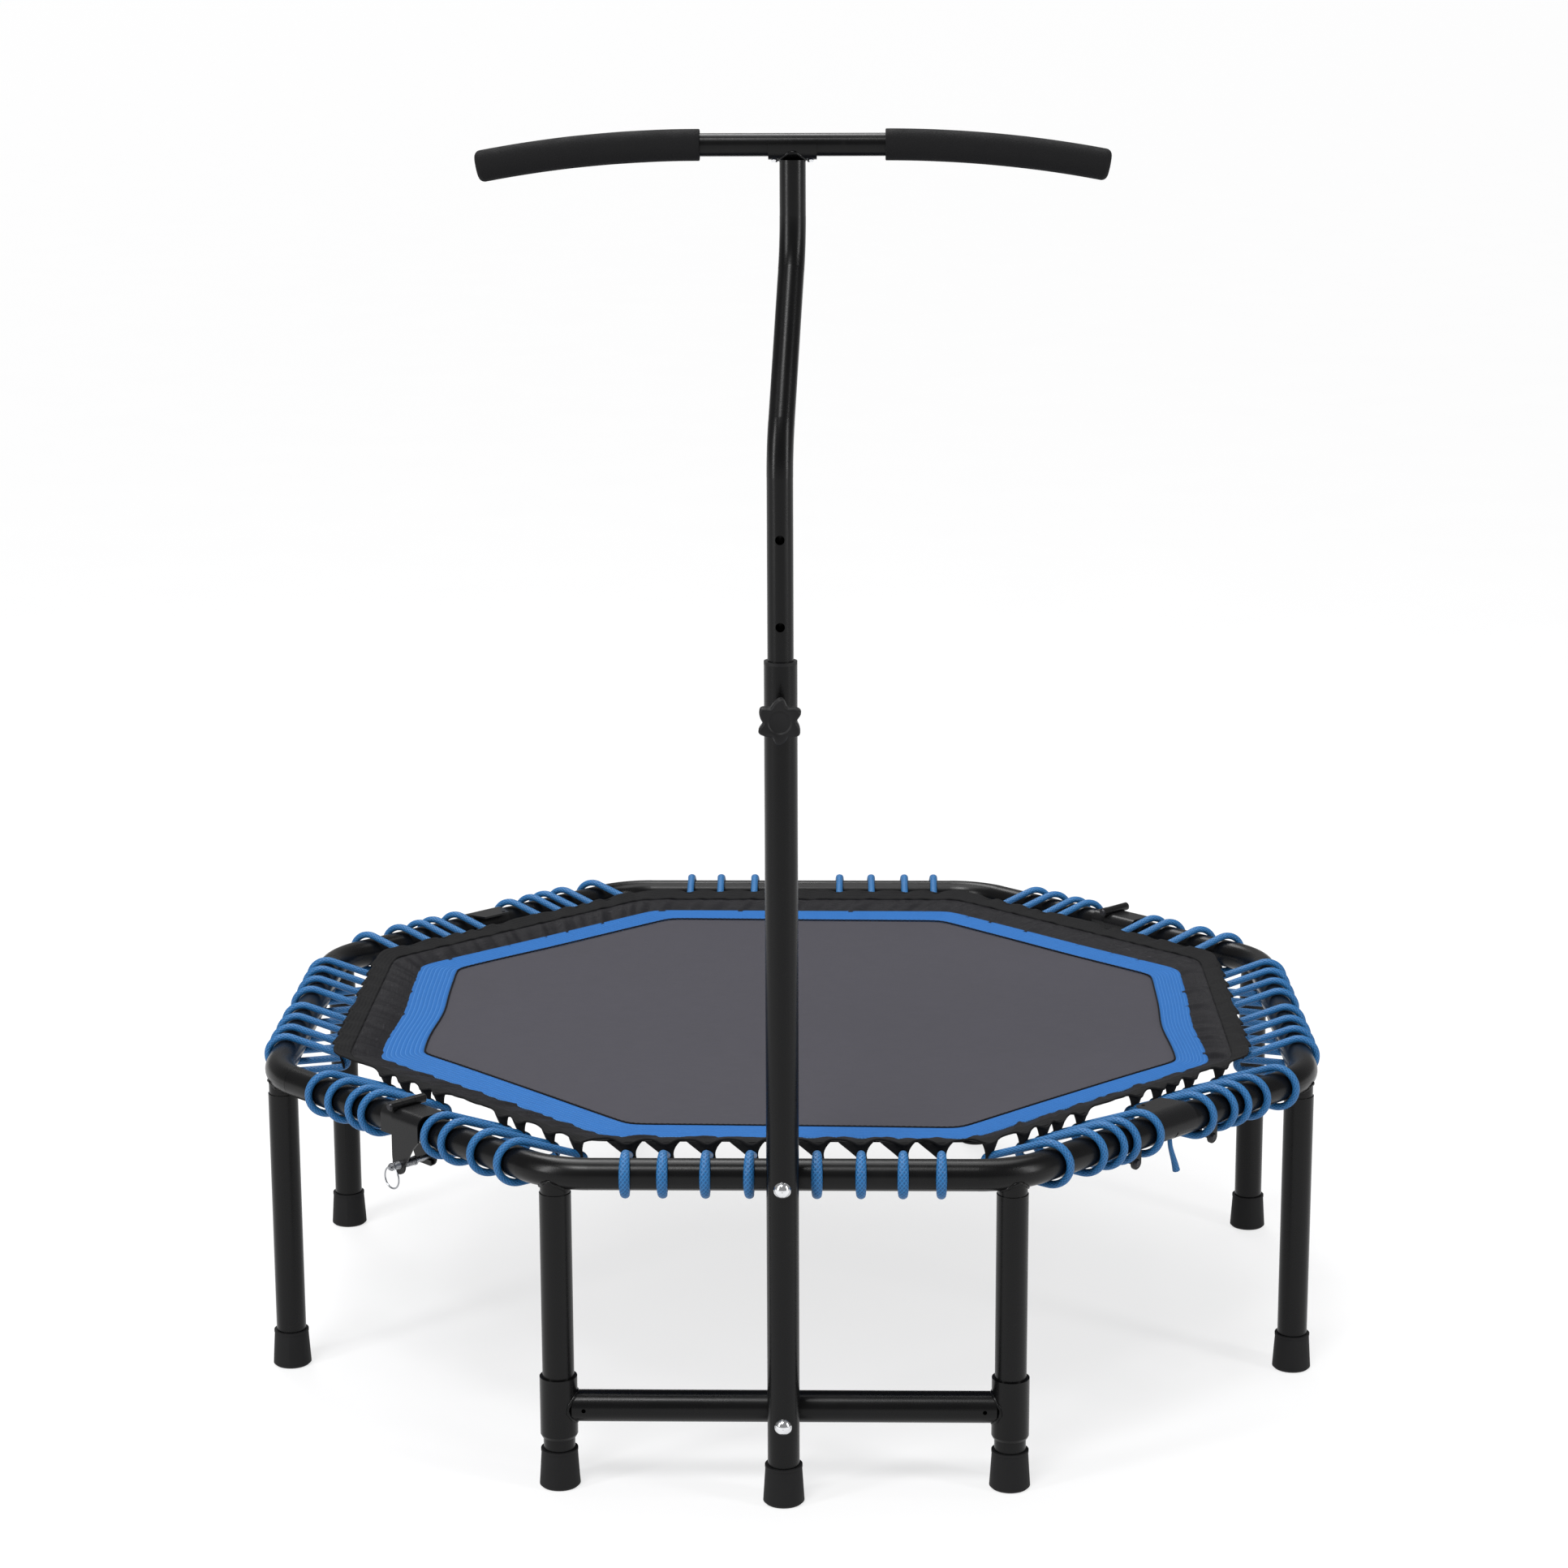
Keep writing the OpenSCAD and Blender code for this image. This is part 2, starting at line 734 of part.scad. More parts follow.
// Coil between the pin's collar and the outer side plate.
module lock_spring() {
    coil_r = lock_r + 1.1;
    wire_r = 0.6;
    start_y = cover_in - 17.3;
    turns = 9;
    pitch = (cover_in - 0.8 - start_y) / (turns - 1);
    color(bright) translate([lock_x, 0, lock_z]) for (k = [0 : turns - 1])
        translate([0, start_y + k * pitch, 0]) rotate([90, 0, 0])
            rotate_extrude() translate([coil_r, 0]) circle(wire_r);
}

// Split ring hanging from the eye.
module pull_ring() {
    color(bright) translate([lock_x, lock_eye_y, lock_z - ring_r]) rotate([90, 0, 0])
        rotate_extrude($fn = 96) translate([ring_r, 0]) circle(ring_wire_r);
}

module front_hinge_cover() { front_hinge_frame() hinge_cover(); }
module front_hinge_collar() { front_hinge_frame() hinge_collar(); }
module front_hinge_pin() { front_hinge_frame() hinge_pin(); }
module front_lock_pin() { front_hinge_frame() lock_pin(); }
module front_lock_spring() { front_hinge_frame() lock_spring(); }
module front_pull_ring() { front_hinge_frame() pull_ring(); }
module back_hinge_cover() { back_hinge_frame() hinge_cover(); }
module back_hinge_collar() { back_hinge_frame() hinge_collar(); }
module back_hinge_pin() { back_hinge_frame() hinge_pin(); }
module back_lock_pin() { back_hinge_frame() lock_pin(); }
module back_lock_spring() { back_hinge_frame() lock_spring(); }
module back_pull_ring() { back_hinge_frame() pull_ring(); }

// ---------- second-fold brackets ----------

// Half-round cover with an inner wing, and two pairs of lobed ears below the rail.
module fold_bracket() {
    wing = 26;
    ear_t = 2.4;
    color(steel) {
        difference() {
            translate([-bracket_half, 0, 0]) tube_x(collar_in + collar_wall, collar_in, 2 * bracket_half);
            translate([-bracket_half - 1, -frame_tube_d, -frame_tube_d - 4])
                cube([2 * bracket_half + 2, 2 * frame_tube_d, frame_tube_d]);
        }
        translate([0, 0, collar_in]) linear_extrude(collar_wall) difference() {
            polygon([
                [-bracket_half, 0], [-bracket_half + 8, -wing], [bracket_half - 8, -wing], [bracket_half, 0]
            ]);
            translate([bracket_half - 13, 5 - wing]) circle(2.2);
        }
        for (side = [0, 1], y = [-bracket_ear_y - ear_t, bracket_ear_y]) mirror([side, 0, 0]) bracket_ear(y, ear_t);
    }
}

module bracket_ear(y, thickness) {
    lobe_r = 7;
    difference() {
        translate([0, y + thickness, 0]) rotate([90, 0, 0]) linear_extrude(thickness) {
            translate([bracket_pin_x, bracket_pin_z]) circle(lobe_r);
            translate([bracket_pin_x - lobe_r, bracket_pin_z]) square([2 * lobe_r, -bracket_pin_z - 4]);
        }
        rod_x(r_frame + slip, 2 * bracket_pin_x);
        translate([bracket_pin_x, y - 1, bracket_pin_z]) rod_y(bracket_pin_r + slip, thickness + 2);
    }
}

module bracket_pins() {
    head_r = 4.5;
    head_h = 2.5;
    reach = bracket_ear_y + 2.4;
    color(foam) for (side = [-1, 1]) translate([side * bracket_pin_x, 0, bracket_pin_z]) {
        translate([0, -reach - 1, 0]) rod_y(bracket_pin_r, 2 * (reach + 1));
        for (end = [0, 1]) mirror([0, end, 0]) translate([0, reach + slip, 0])
            rotate([-90, 0, 0]) cylinder(r1 = head_r, r2 = head_r - 1.5, h = head_h);
    }
}

module right_bracket() { right_bracket_frame() fold_bracket(); }
module right_bracket_pins() { right_bracket_frame() bracket_pins(); }
module left_bracket() { left_bracket_frame() fold_bracket(); }
module left_bracket_pins() { left_bracket_frame() bracket_pins(); }

// ---------- jumping surface ----------

// Outline of the fixed half of an octagon, from the front hinge round to the back hinge.
function half_outline(a) =
    let (t = a * tan(22.5), s = a * diag, g = fold_gap * diag)
    [[g - s, -s - g], [-t, -a], [t, -a], [a, -t], [a, t], [s + g, s - g]];

// Sweeps a profile of [apothem, height] points round the fixed half.
module swept_half(profile) {
    count = len(profile);
    outlines = [for (p = profile) half_outline(p[0])];
    stations = len(outlines[0]);
    points = [for (k = [0 : stations - 1], j = [0 : count - 1])
        [outlines[j][k][0], outlines[j][k][1], profile[j][1]]];
    sides = [for (k = [0 : stations - 2], j = [0 : count - 1])
        let (next = (j + 1) % count)
        [k * count + j, k * count + next, (k + 1) * count + next, (k + 1) * count + j]];
    start_cap = [[for (j = [count - 1 : -1 : 0]) j]];
    end_cap = [[for (j = [0 : count - 1]) (stations - 1) * count + j]];
    polyhedron(points, concat(sides, start_cap, end_cap));
}

// Height of the sloping border at a distance from the centre.
function border_z(a) = mat_height + skirt_rise * (a - mat_apothem) / (skirt_apothem - mat_apothem);

function border_profile(inner, outer, thickness) = [
    [inner, border_z(inner) - thickness], [outer, border_z(outer) - thickness],
    [outer, border_z(outer)], [inner, border_z(inner)]
];

module mat_half() {
    color([0.33, 0.32, 0.35]) translate([0, 0, mat_height - mat_t])
        linear_extrude(mat_t) polygon(half_outline(mat_apothem - 0.5));
}

module band_half() {
    color(blue) swept_half(border_profile(mat_apothem, band_apothem - 0.3, band_t));
}

module skirt_half() {
    color([0.13, 0.13, 0.14]) swept_half(border_profile(band_apothem, skirt_apothem, band_t));
}

module mat_fixed() { centred() mat_half(); }
module mat_folding() { centred() rotate(180) mat_half(); }
module band_fixed() { centred() band_half(); }
module band_folding() { centred() rotate(180) band_half(); }
module skirt_fixed() { centred() skirt_half(); }
module skirt_folding() { centred() rotate(180) skirt_half(); }

// ---------- elastic cords ----------

// One cord loop about the front rail at x = 0: round the rail, and back to the skirt's edge.
// The two strands are a hair thinner than the turns and run a little way into them.
module cord_loop(lean) {
    rail_wrap = wrap_r / cos(lean);
    depth = turn_depth / cos(lean);
    span = norm([depth, turn_drop]);
    taper = asin((rail_wrap - turn_r) / span);
    strand = span * cos(taper);
    tilt = atan2(turn_drop, depth);
    overlap = 1;
    color(blue) translate([0, -apothem, rail_height]) rotate(-lean) rotate([90, 0, 90]) rotate(-tilt) {
        rotate(90 - taper) rotate_extrude(angle = 180 + 2 * taper, $fn = 64) translate([rail_wrap, 0]) circle(cord_r);
        translate([span, 0, 0]) rotate(taper - 90)
            rotate_extrude(angle = 180 - 2 * taper, $fn = 64) translate([turn_r, 0]) circle(cord_r);
        for (side = [0, 1]) mirror([0, side, 0]) rotate(90 - taper) translate([rail_wrap, overlap, 0])
            rotate([90, 0, 0]) cylinder(r = cord_r - 0.15, h = strand + 2 * overlap);
    }
}

module side_loops(k, offsets, lean) {
    on_side(k) for (x = offsets) translate([x, 0, 0]) cord_loop(lean);
}

function mirrored(list) = concat([for (x = list) -x], list);

// Loops of one half, drawn on the fixed half. Those next to the two hinges and the slide along side 0 are given.
module half_cords(hinge_offsets, slide) {
    side_loops(0, [for (x = mirrored(straight_side_offsets)) x + slide], 0);
    side_loops(2, mirrored(straight_side_offsets), 0);
    side_loops(1, mirrored(bracket_side_offsets), -cord_lean);
    side_loops(7, hinge_offsets, cord_lean);
    side_loops(3, -hinge_offsets, cord_lean);
}

module cords_fixed() { half_cords(cover_side_offsets, 0); }
module cords_folding() {
    translate([0, centre_y, 0]) rotate(180) translate([0, -centre_y, 0])
        half_cords(collar_side_offsets, -back_side_slide);
}

// Loose end of the elastic, hanging under the right bracket.
tail_points = [[-3, 1, -16.2], [-4, 1.2, -24], [-6, 1.5, -31], [-8.5, 1.8, -38], [-11, 2, -45], [-13.5, 2, -52.5]];

module cord_tail() {
    sides = 8;
    tail_r = 3;
    rings = len(tail_points);
    points = [for (p = tail_points, k = [0 : sides - 1])
        [p[0] + tail_r * cos(360 * k / sides), p[1] + tail_r * sin(360 * k / sides), p[2]]];
    walls = [for (i = [0 : rings - 2], k = [0 : sides - 1])
        let (next = (k + 1) % sides)
        [i * sides + k, i * sides + next, (i + 1) * sides + next, (i + 1) * sides + k]];
    caps = [[for (k = [sides - 1 : -1 : 0]) k], [for (k = [0 : sides - 1]) (rings - 1) * sides + k]];
    color(blue) right_bracket_frame() polyhedron(points, concat(walls, caps));
}

front_rail();
right_rail();
back_rail();
left_rail();
fixed_leg_collars();
folding_leg_collars();
front_left_leg();
front_right_leg();
right_front_leg();
right_back_leg();
back_right_leg();
back_left_leg();
left_back_leg();
left_front_leg();
fixed_feet();
folding_feet();
post_foot();
crossbar();
crossbar_left_sleeve();
crossbar_right_sleeve();
post();
post_insert();
post_spacer();
post_bolts();
post_nuts();
knob_boss();
star_knob();
knob_screw();
handle_tube();
handle_glide();
handle_bar();
bar_saddle();
saddle_screws();
left_grip();
right_grip();
front_hinge_cover();
front_hinge_collar();
front_hinge_pin();
front_lock_pin();
front_lock_spring();
front_pull_ring();
back_hinge_cover();
back_hinge_collar();
back_hinge_pin();
back_lock_pin();
back_lock_spring();
back_pull_ring();
right_bracket();
right_bracket_pins();
left_bracket();
left_bracket_pins();
mat_fixed();
mat_folding();
band_fixed();
band_folding();
skirt_fixed();
skirt_folding();
cords_fixed();
cords_folding();
cord_tail();
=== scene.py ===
"""Looks of the folding octagonal rebounder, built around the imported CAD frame. Metres, +Z up."""

import json
import math
import random

import bpy
from mathutils import Euler, Matrix, Vector, noise


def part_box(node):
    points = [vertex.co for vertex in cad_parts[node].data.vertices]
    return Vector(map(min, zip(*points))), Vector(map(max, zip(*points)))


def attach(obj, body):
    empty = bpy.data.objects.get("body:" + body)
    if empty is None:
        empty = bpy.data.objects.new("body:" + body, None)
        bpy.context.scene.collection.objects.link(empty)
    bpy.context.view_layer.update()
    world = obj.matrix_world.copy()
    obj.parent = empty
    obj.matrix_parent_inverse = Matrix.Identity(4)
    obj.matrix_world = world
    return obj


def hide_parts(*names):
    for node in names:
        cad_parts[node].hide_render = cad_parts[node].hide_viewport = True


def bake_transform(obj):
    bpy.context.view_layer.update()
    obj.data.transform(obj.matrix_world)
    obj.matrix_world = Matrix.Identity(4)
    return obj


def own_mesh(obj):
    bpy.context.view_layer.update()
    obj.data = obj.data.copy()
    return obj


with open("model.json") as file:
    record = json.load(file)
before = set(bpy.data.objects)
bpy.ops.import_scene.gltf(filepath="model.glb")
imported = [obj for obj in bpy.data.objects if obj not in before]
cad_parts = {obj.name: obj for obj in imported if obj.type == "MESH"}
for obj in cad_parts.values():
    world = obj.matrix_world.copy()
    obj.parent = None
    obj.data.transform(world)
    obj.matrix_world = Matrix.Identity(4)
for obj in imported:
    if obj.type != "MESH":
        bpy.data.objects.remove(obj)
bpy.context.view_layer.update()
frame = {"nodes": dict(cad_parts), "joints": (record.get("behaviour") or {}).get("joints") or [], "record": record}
record = frame["record"]

# ---------- measures, all taken from the frame ----------

MM = 0.001
BEND_SWELL = 0.1 * MM  # the rail's bends are this much fatter than its straights
front_low, front_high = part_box("front_rail")
back_low, back_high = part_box("back_rail")
RAIL_R = (front_high.z - front_low.z) / 2 - BEND_SWELL
RAIL_Z = (front_high.z + front_low.z) / 2
CENTRE = Vector((0, (front_low.y + back_high.y) / 2, 0))
APOTHEM = (back_high.y - front_low.y) / 2 - RAIL_R - BEND_SWELL
MAT_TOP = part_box("mat_fixed")[1].z
MAT_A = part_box("mat_fixed")[1].x + 0.5 * MM
BAND_WIDTH = 38.5 * MM
BAND_RISE = 3.2 * MM
BAND_A = MAT_A + BAND_WIDTH
SKIRT_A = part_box("skirt_fixed")[1].x
SKIRT_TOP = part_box("skirt_fixed")[1].z
BED_DRIFT = 8 * MM, 11 * MM  # how far the laced bed sits off the frame's centre
BAND_EDGE_DRIFT = 0.4  # the band's outer edge shares this much of it
CORNER = math.radians(22.5)
SIDE_TURN = math.radians(45)
RAIL_BEND_R = 90 * MM
HANDLE_TUBE_R = 12.5 * MM
T_BAR_R = 11.05 * MM

# The soft ring: how sharp the octagon's corners are, and how the layers overlap.
MAT_SHARPNESS, BAND_SHARPNESS, SKIRT_SHARPNESS = 140, 110, 90
MAT_TUCK = 14 * MM
SKIRT_TUCK = 4 * MM
SKIRT_OUTER_GAP = 17 * MM
EDGE_WEBBING_INNER_GAP = 21 * MM
EDGE_WEBBING_OUTER_GAP = 1 * MM
BAND_ROWS = 9
RING_STATIONS = 960

# Cord loops: the same places as the CAD's cords, in millimetres along each side.
TURN_R = 7 * MM
TURN_DEPTH = 60 * MM
TURN_DROP = 8 * MM
CORD_LEAN = math.radians(22)
STRAIGHT_OFFSETS = [33, 76, 118, 156]
BRACKET_OFFSETS = [43, 78, 100, 130, 180]
COVER_OFFSETS = [60, 88, 135, 178]
COLLAR_OFFSETS = [44, 66, 102, 134]
BACK_SIDE_SLIDE = 16


def border_z(a):
    """Height of the border at a distance from the centre: nearly level on the band, steeper on the skirt."""
    if a < BAND_A:
        return MAT_TOP + BAND_RISE * (a - MAT_A) / BAND_WIDTH
    band_top = MAT_TOP + BAND_RISE
    return band_top + (SKIRT_TOP - band_top) * (a - BAND_A) / (SKIRT_A - BAND_A)


def drifted(point, share=1):
    """A point of the bed where the cords have pulled it: right and back, and further back on the left."""
    across, back = BED_DRIFT
    return point + share * Vector((across, back * (1 - point.x / MAT_A), 0))


# ---------- camera ----------


def make_camera():
    """Long lens from standing height, a little right of the handle post."""
    pitch, yaw, roll = 0.22321, -0.02087, -0.00379
    data = bpy.data.cameras.new("camera")
    data.sensor_width = 36
    data.lens = 82.33
    data.clip_end = 1000
    camera = bpy.data.objects.new("camera", data)
    aim = Euler((math.pi / 2 - pitch, 0, -yaw)).to_matrix() @ Matrix.Rotation(roll, 3, "Z")
    camera.matrix_world = Matrix.Translation((0.0725, -3.8956, 1.4932)) @ aim.to_4x4()
    bpy.context.scene.collection.objects.link(camera)
    bpy.context.scene.camera = camera


# ---------- mesh helpers ----------


def new_piece(name, points, faces, uvs=None, smooth=True):
    """A mesh object. uvs has one pair for each corner of each face, in order."""
    mesh = bpy.data.meshes.new(name)
    mesh.from_pydata([tuple(p) for p in points], [], faces)
    if uvs:
        layer = mesh.uv_layers.new(name="UVMap")
        layer.data.foreach_set("uv", [value for pair in uvs for value in pair])
    mesh.polygons.foreach_set("use_smooth", [smooth] * len(faces))
    mesh.validate()
    piece = bpy.data.objects.new(name, mesh)
    bpy.context.scene.collection.objects.link(piece)
    return piece


def finish_piece(piece, finish):
    piece.data.materials.append(finish)
    return piece


class Shape:
    """Collects tubes and rings into one mesh."""

    def __init__(self):
        self.points, self.faces, self.uvs = [], [], []

    def grid(self, rows, closed_rows=False, closed_columns=False):
        """Joins rows of points into quads. UVs are the share round a row and the length along the rows."""
        base, count, wide = len(self.points), len(rows), len(rows[0])
        for row in rows:
            self.points.extend(row)
        lengths = [0.0]
        for i in range(1, count + 1):
            step = (rows[i % count][0] - rows[i - 1][0]).length
            lengths.append(lengths[-1] + step)
        for i in range(count if closed_rows else count - 1):
            for j in range(wide if closed_columns else wide - 1):
                i2, j2 = (i + 1) % count, (j + 1) % wide
                self.faces.append(
                    (base + i * wide + j, base + i * wide + j2, base + i2 * wide + j2, base + i2 * wide + j)
                )
                u1, u2 = j / wide, (j + 1) / wide
                self.uvs += [(u1, lengths[i]), (u2, lengths[i]), (u2, lengths[i + 1]), (u1, lengths[i + 1])]

    def cap(self, row_start, wide, flip=False):
        """Closes one row of points with a flat face."""
        ring = list(range(row_start, row_start + wide))
        self.faces.append(tuple(reversed(ring)) if flip else tuple(ring))
        self.uvs += [(0.5, 0.0)] * wide

    def tube(self, line, radii, sides=12, closed=False):
        """A round tube along a line, carried without twist. radii is one number or one for each point."""
        count = len(line)
        if not isinstance(radii, (list, tuple)):
            radii = [radii] * count
        across = None
        rows = []
        for i, point in enumerate(line):
            ahead = line[(i + 1) % count] if closed or i + 1 < count else point
            behind = line[i - 1] if closed or i > 0 else point
            along = (ahead - behind).normalized()
            if across is None:
                across = along.orthogonal().normalized()
            across = (across - along * across.dot(along)).normalized()
            other = along.cross(across)
            turns = [2 * math.pi * k / sides for k in range(sides)]
            rows.append([point + radii[i] * (math.cos(t) * across + math.sin(t) * other) for t in turns])
        base = len(self.points)
        self.grid(rows, closed_rows=closed, closed_columns=True)
        if not closed:
            self.cap(base, sides, flip=True)
            self.cap(base + (count - 1) * sides, sides)

    def piece(self, name):
        return new_piece(name, self.points, self.faces, self.uvs)


# ---------- materials ----------


class Finish:
    """A node material under construction."""

    def __init__(self, name, metallic=0.0, specular=0.5):
        self.material = bpy.data.materials.new(name)
        self.material.use_nodes = True
        self.tree = self.material.node_tree
        self.surface = self.tree.nodes["Principled BSDF"]
        self.put(self.surface, "Metallic", metallic)
        self.put(self.surface, "Specular IOR Level", specular)

    def put(self, node, key, value):
        if isinstance(value, bpy.types.NodeSocket):
            self.tree.links.new(value, node.inputs[key])
        else:
            node.inputs[key].default_value = value

    def add(self, kind, inputs, **settings):
        node = self.tree.nodes.new("ShaderNode" + kind)
        for key, value in settings.items():
            setattr(node, key, value)
        for key, value in inputs.items():
            self.put(node, key, value)
        return node

    def place(self, scale=(1, 1, 1), use="Object"):
        """Texture coordinates: the piece's own metres, or its UV map."""
        source = self.add("TexCoord", {}).outputs[use]
        return self.add("Mapping", {"Vector": source, "Scale": scale}).outputs["Vector"]

    def noise(self, scale, where, detail=3.0, rough=0.55):
        made = self.add("TexNoise", {"Vector": where, "Scale": scale, "Detail": detail, "Roughness": rough})
        return made.outputs["Fac"]

    def cells(self, scale, where):
        return self.add("TexVoronoi", {"Vector": where, "Scale": scale}).outputs["Distance"]

    def maths(self, operation, a, b=0.0):
        return self.add("Math", {0: a, 1: b}, operation=operation).outputs[0]

    def spread(self, value, low, high, out_low, out_high):
        """The value mapped from one range to another, kept inside it."""
        ends = {"Value": value, "From Min": low, "From Max": high, "To Min": out_low, "To Max": out_high}
        return self.add("MapRange", ends).outputs["Result"]

    def mix(self, share, a, b):
        node = self.add("Mix", {"Factor": share}, data_type="RGBA")
        for key, value in ((6, a), (7, b)):
            self.put(node, key, (*value, 1) if isinstance(value, tuple) else value)
        return node.outputs[2]

    def bump(self, height, distance, strength=1.0):
        inputs = {"Height": height, "Distance": distance, "Strength": strength}
        return self.add("Bump", inputs).outputs["Normal"]

    def done(self, colour, roughness, normal=None, **more):
        self.put(self.surface, "Base Color", (*colour, 1) if isinstance(colour, tuple) else colour)
        self.put(self.surface, "Roughness", roughness)
        if normal is not None:
            self.put(self.surface, "Normal", normal)
        for key, value in more.items():
            self.put(self.surface, key.replace("_", " "), value)
        return self.material


def powder_coat(name, dark, light):
    """Satin powder coat: orange peel, faint dust and a few rubbed spots."""
    made = Finish(name, specular=0.2)
    where = made.place()
    peel = made.noise(650, where, 2.0)
    dust = made.noise(9, where, 5.0, 0.65)
    rubbed = made.spread(made.noise(70, where, 6.0, 0.7), 0.62, 0.74, 0.0, 0.5)
    colour = made.mix(dust, dark, light)
    colour = made.mix(rubbed, colour, tuple(2.2 * value for value in light))
    uneven = made.maths("ADD", dust, made.maths("MULTIPLY", peel, 0.4))
    return made.done(colour, made.spread(uneven, 0.3, 1.0, 0.2, 0.34), made.bump(peel, 0.06 * MM, 0.5))


def moulded_rubber():
    """Dull black rubber with a fine grain and a pale bloom."""
    made = Finish("foot_rubber", specular=0.15)
    where = made.place()
    grain = made.noise(1500, where, 2.0)
    bloom = made.noise(28, where, 5.0, 0.6)
    colour = made.mix(bloom, (0.005, 0.005, 0.0055), (0.012, 0.012, 0.0125))
    return made.done(colour, made.spread(bloom, 0.3, 0.7, 0.55, 0.72), made.bump(grain, 0.1 * MM, 0.5))


def moulded_nylon():
    """Black moulded nylon with a spark-eroded grain and faint smears."""
    made = Finish("black_nylon", specular=0.2)
    where = made.place()
    grain = made.cells(1300, where)
    smears = made.noise(40, where, 4.0)
    colour = made.mix(smears, (0.004, 0.004, 0.0045), (0.009, 0.009, 0.0095))
    return made.done(colour, made.spread(smears, 0.3, 0.7, 0.42, 0.56), made.bump(grain, 0.12 * MM, 0.6))


def foam():
    """Closed-cell black foam with fine pores."""
    made = Finish("grip_foam", specular=0.12)
    where = made.place()
    cells = made.cells(750, where)
    skin = made.noise(60, where, 5.0, 0.65)
    colour = made.mix(skin, (0.004, 0.004, 0.0045), (0.009, 0.009, 0.0095))
    height = made.maths("ADD", cells, made.maths("MULTIPLY", skin, 0.8))
    return made.done(colour, made.spread(skin, 0.3, 0.7, 0.68, 0.82), made.bump(height, 0.35 * MM, 0.7))


def bright_metal(name, colour, smooth, dull):
    """Plated steel with fine turning marks and a little tarnish."""
    made = Finish(name, metallic=1.0)
    where = made.place()
    tarnish = made.noise(160, where, 5.0, 0.6)
    marks = made.noise(1800, made.place((1, 1, 9)), 2.0)
    tint = made.mix(tarnish, colour, tuple(0.72 * value for value in colour))
    return made.done(tint, made.spread(tarnish, 0.3, 0.7, smooth, dull), made.bump(marks, 0.02 * MM, 0.4))


def woven_mat():
    """Close-woven polypropylene: warp and weft at a 1.4 mm pitch, with faint streaks along the warp and painted
    shade in the weave's low points.
    """
    made = Finish("mat_weave", specular=0.12)
    where = made.place(use="UV")
    turns = 2 * math.pi / (1.4 * MM)
    split = made.add("SeparateXYZ", {"Vector": where})
    warp = made.maths("SINE", made.maths("MULTIPLY", split.outputs["X"], turns))
    weft = made.maths("SINE", made.maths("MULTIPLY", split.outputs["Y"], turns))
    weave = made.maths("MULTIPLY", warp, weft)
    streaks = made.noise(40, made.place((1, 22, 1), "UV"), 4.0, 0.6)
    cloudy = made.noise(7, where, 5.0, 0.6)
    colour = made.mix(cloudy, (0.04, 0.039, 0.048), (0.056, 0.054, 0.066))
    colour = made.mix(made.spread(streaks, 0.35, 0.75, 0.0, 0.35), colour, (0.078, 0.075, 0.088))
    # Painted shade: darker where the weave is low.
    colour = made.mix(made.spread(weave, -1.0, 1.0, 0.3, 0.0), colour, (0.02, 0.019, 0.023))
    return made.done(colour, made.spread(cloudy, 0.3, 0.7, 0.58, 0.7), made.bump(weave, 0.16 * MM, 0.6))


def stitched_webbing():
    """Blue webbing with lengthwise rows of lighter stitches and painted shade in the valleys of its twill. V is
    the distance across it.
    """
    made = Finish("blue_webbing", specular=0.12)
    where = made.place(use="UV")
    split = made.add("SeparateXYZ", {"Vector": where})
    along, across = split.outputs["X"], split.outputs["Y"]
    row = made.maths("PINGPONG", made.maths("MULTIPLY", across, BAND_ROWS), 0.5)
    dash = made.maths("SINE", made.maths("MULTIPLY", along, 2 * math.pi / (3.4 * MM)))
    on_row = made.spread(row, 0.0, 0.11, 1.0, 0.0)
    thread = made.maths("MULTIPLY", on_row, made.spread(dash, -0.7, -0.1, 0.25, 1.0))
    slant = made.maths("ADD", along, made.maths("MULTIPLY", across, BAND_WIDTH))
    twill = made.maths("SINE", made.maths("MULTIPLY", slant, 2 * math.pi / (1.1 * MM)))
    wear = made.noise(30, where, 5.0, 0.6)
    colour = made.mix(wear, (0.014, 0.095, 0.29), (0.024, 0.125, 0.37))
    # Painted shade: darker in the valleys of the twill.
    colour = made.mix(made.spread(twill, -1.0, 1.0, 0.22, 0.0), colour, (0.006, 0.055, 0.2))
    colour = made.mix(made.maths("MULTIPLY", thread, 0.6), colour, (0.12, 0.3, 0.62))
    height = made.maths("ADD", made.maths("MULTIPLY", thread, 0.7), made.maths("MULTIPLY", twill, 0.3))
    return made.done(colour, made.spread(wear, 0.3, 0.7, 0.62, 0.78), made.bump(height, 0.3 * MM, 0.6))


def skirt_cloth():
    """Coated woven nylon: satin, with fine crease lines across its width that carry a painted sheen on their
    raised tops.
    """
    made = Finish("skirt_fabric", specular=0.07)
    where = made.place(use="UV")
    split = made.add("SeparateXYZ", {"Vector": where})
    ribs = made.maths("SINE", made.maths("MULTIPLY", split.outputs["X"], 2 * math.pi / (1.2 * MM)))
    creases = made.noise(60, made.place((1, 0.25, 1), "UV"), 6.0, 0.62)
    cloudy = made.noise(14, where, 4.0)
    colour = made.mix(cloudy, (0.005, 0.0049, 0.0058), (0.014, 0.0136, 0.016))
    # Painted sheen: lighter on the crease lines where they stand highest.
    colour = made.mix(made.spread(creases, 0.6, 0.7, 0.0, 0.6), colour, (0.05, 0.048, 0.053))
    height = made.maths("ADD", made.maths("MULTIPLY", ribs, 0.15), creases)
    roughness = made.spread(creases, 0.3, 0.7, 0.36, 0.52)
    return made.done(colour, roughness, made.bump(height, 0.8 * MM, 0.6))


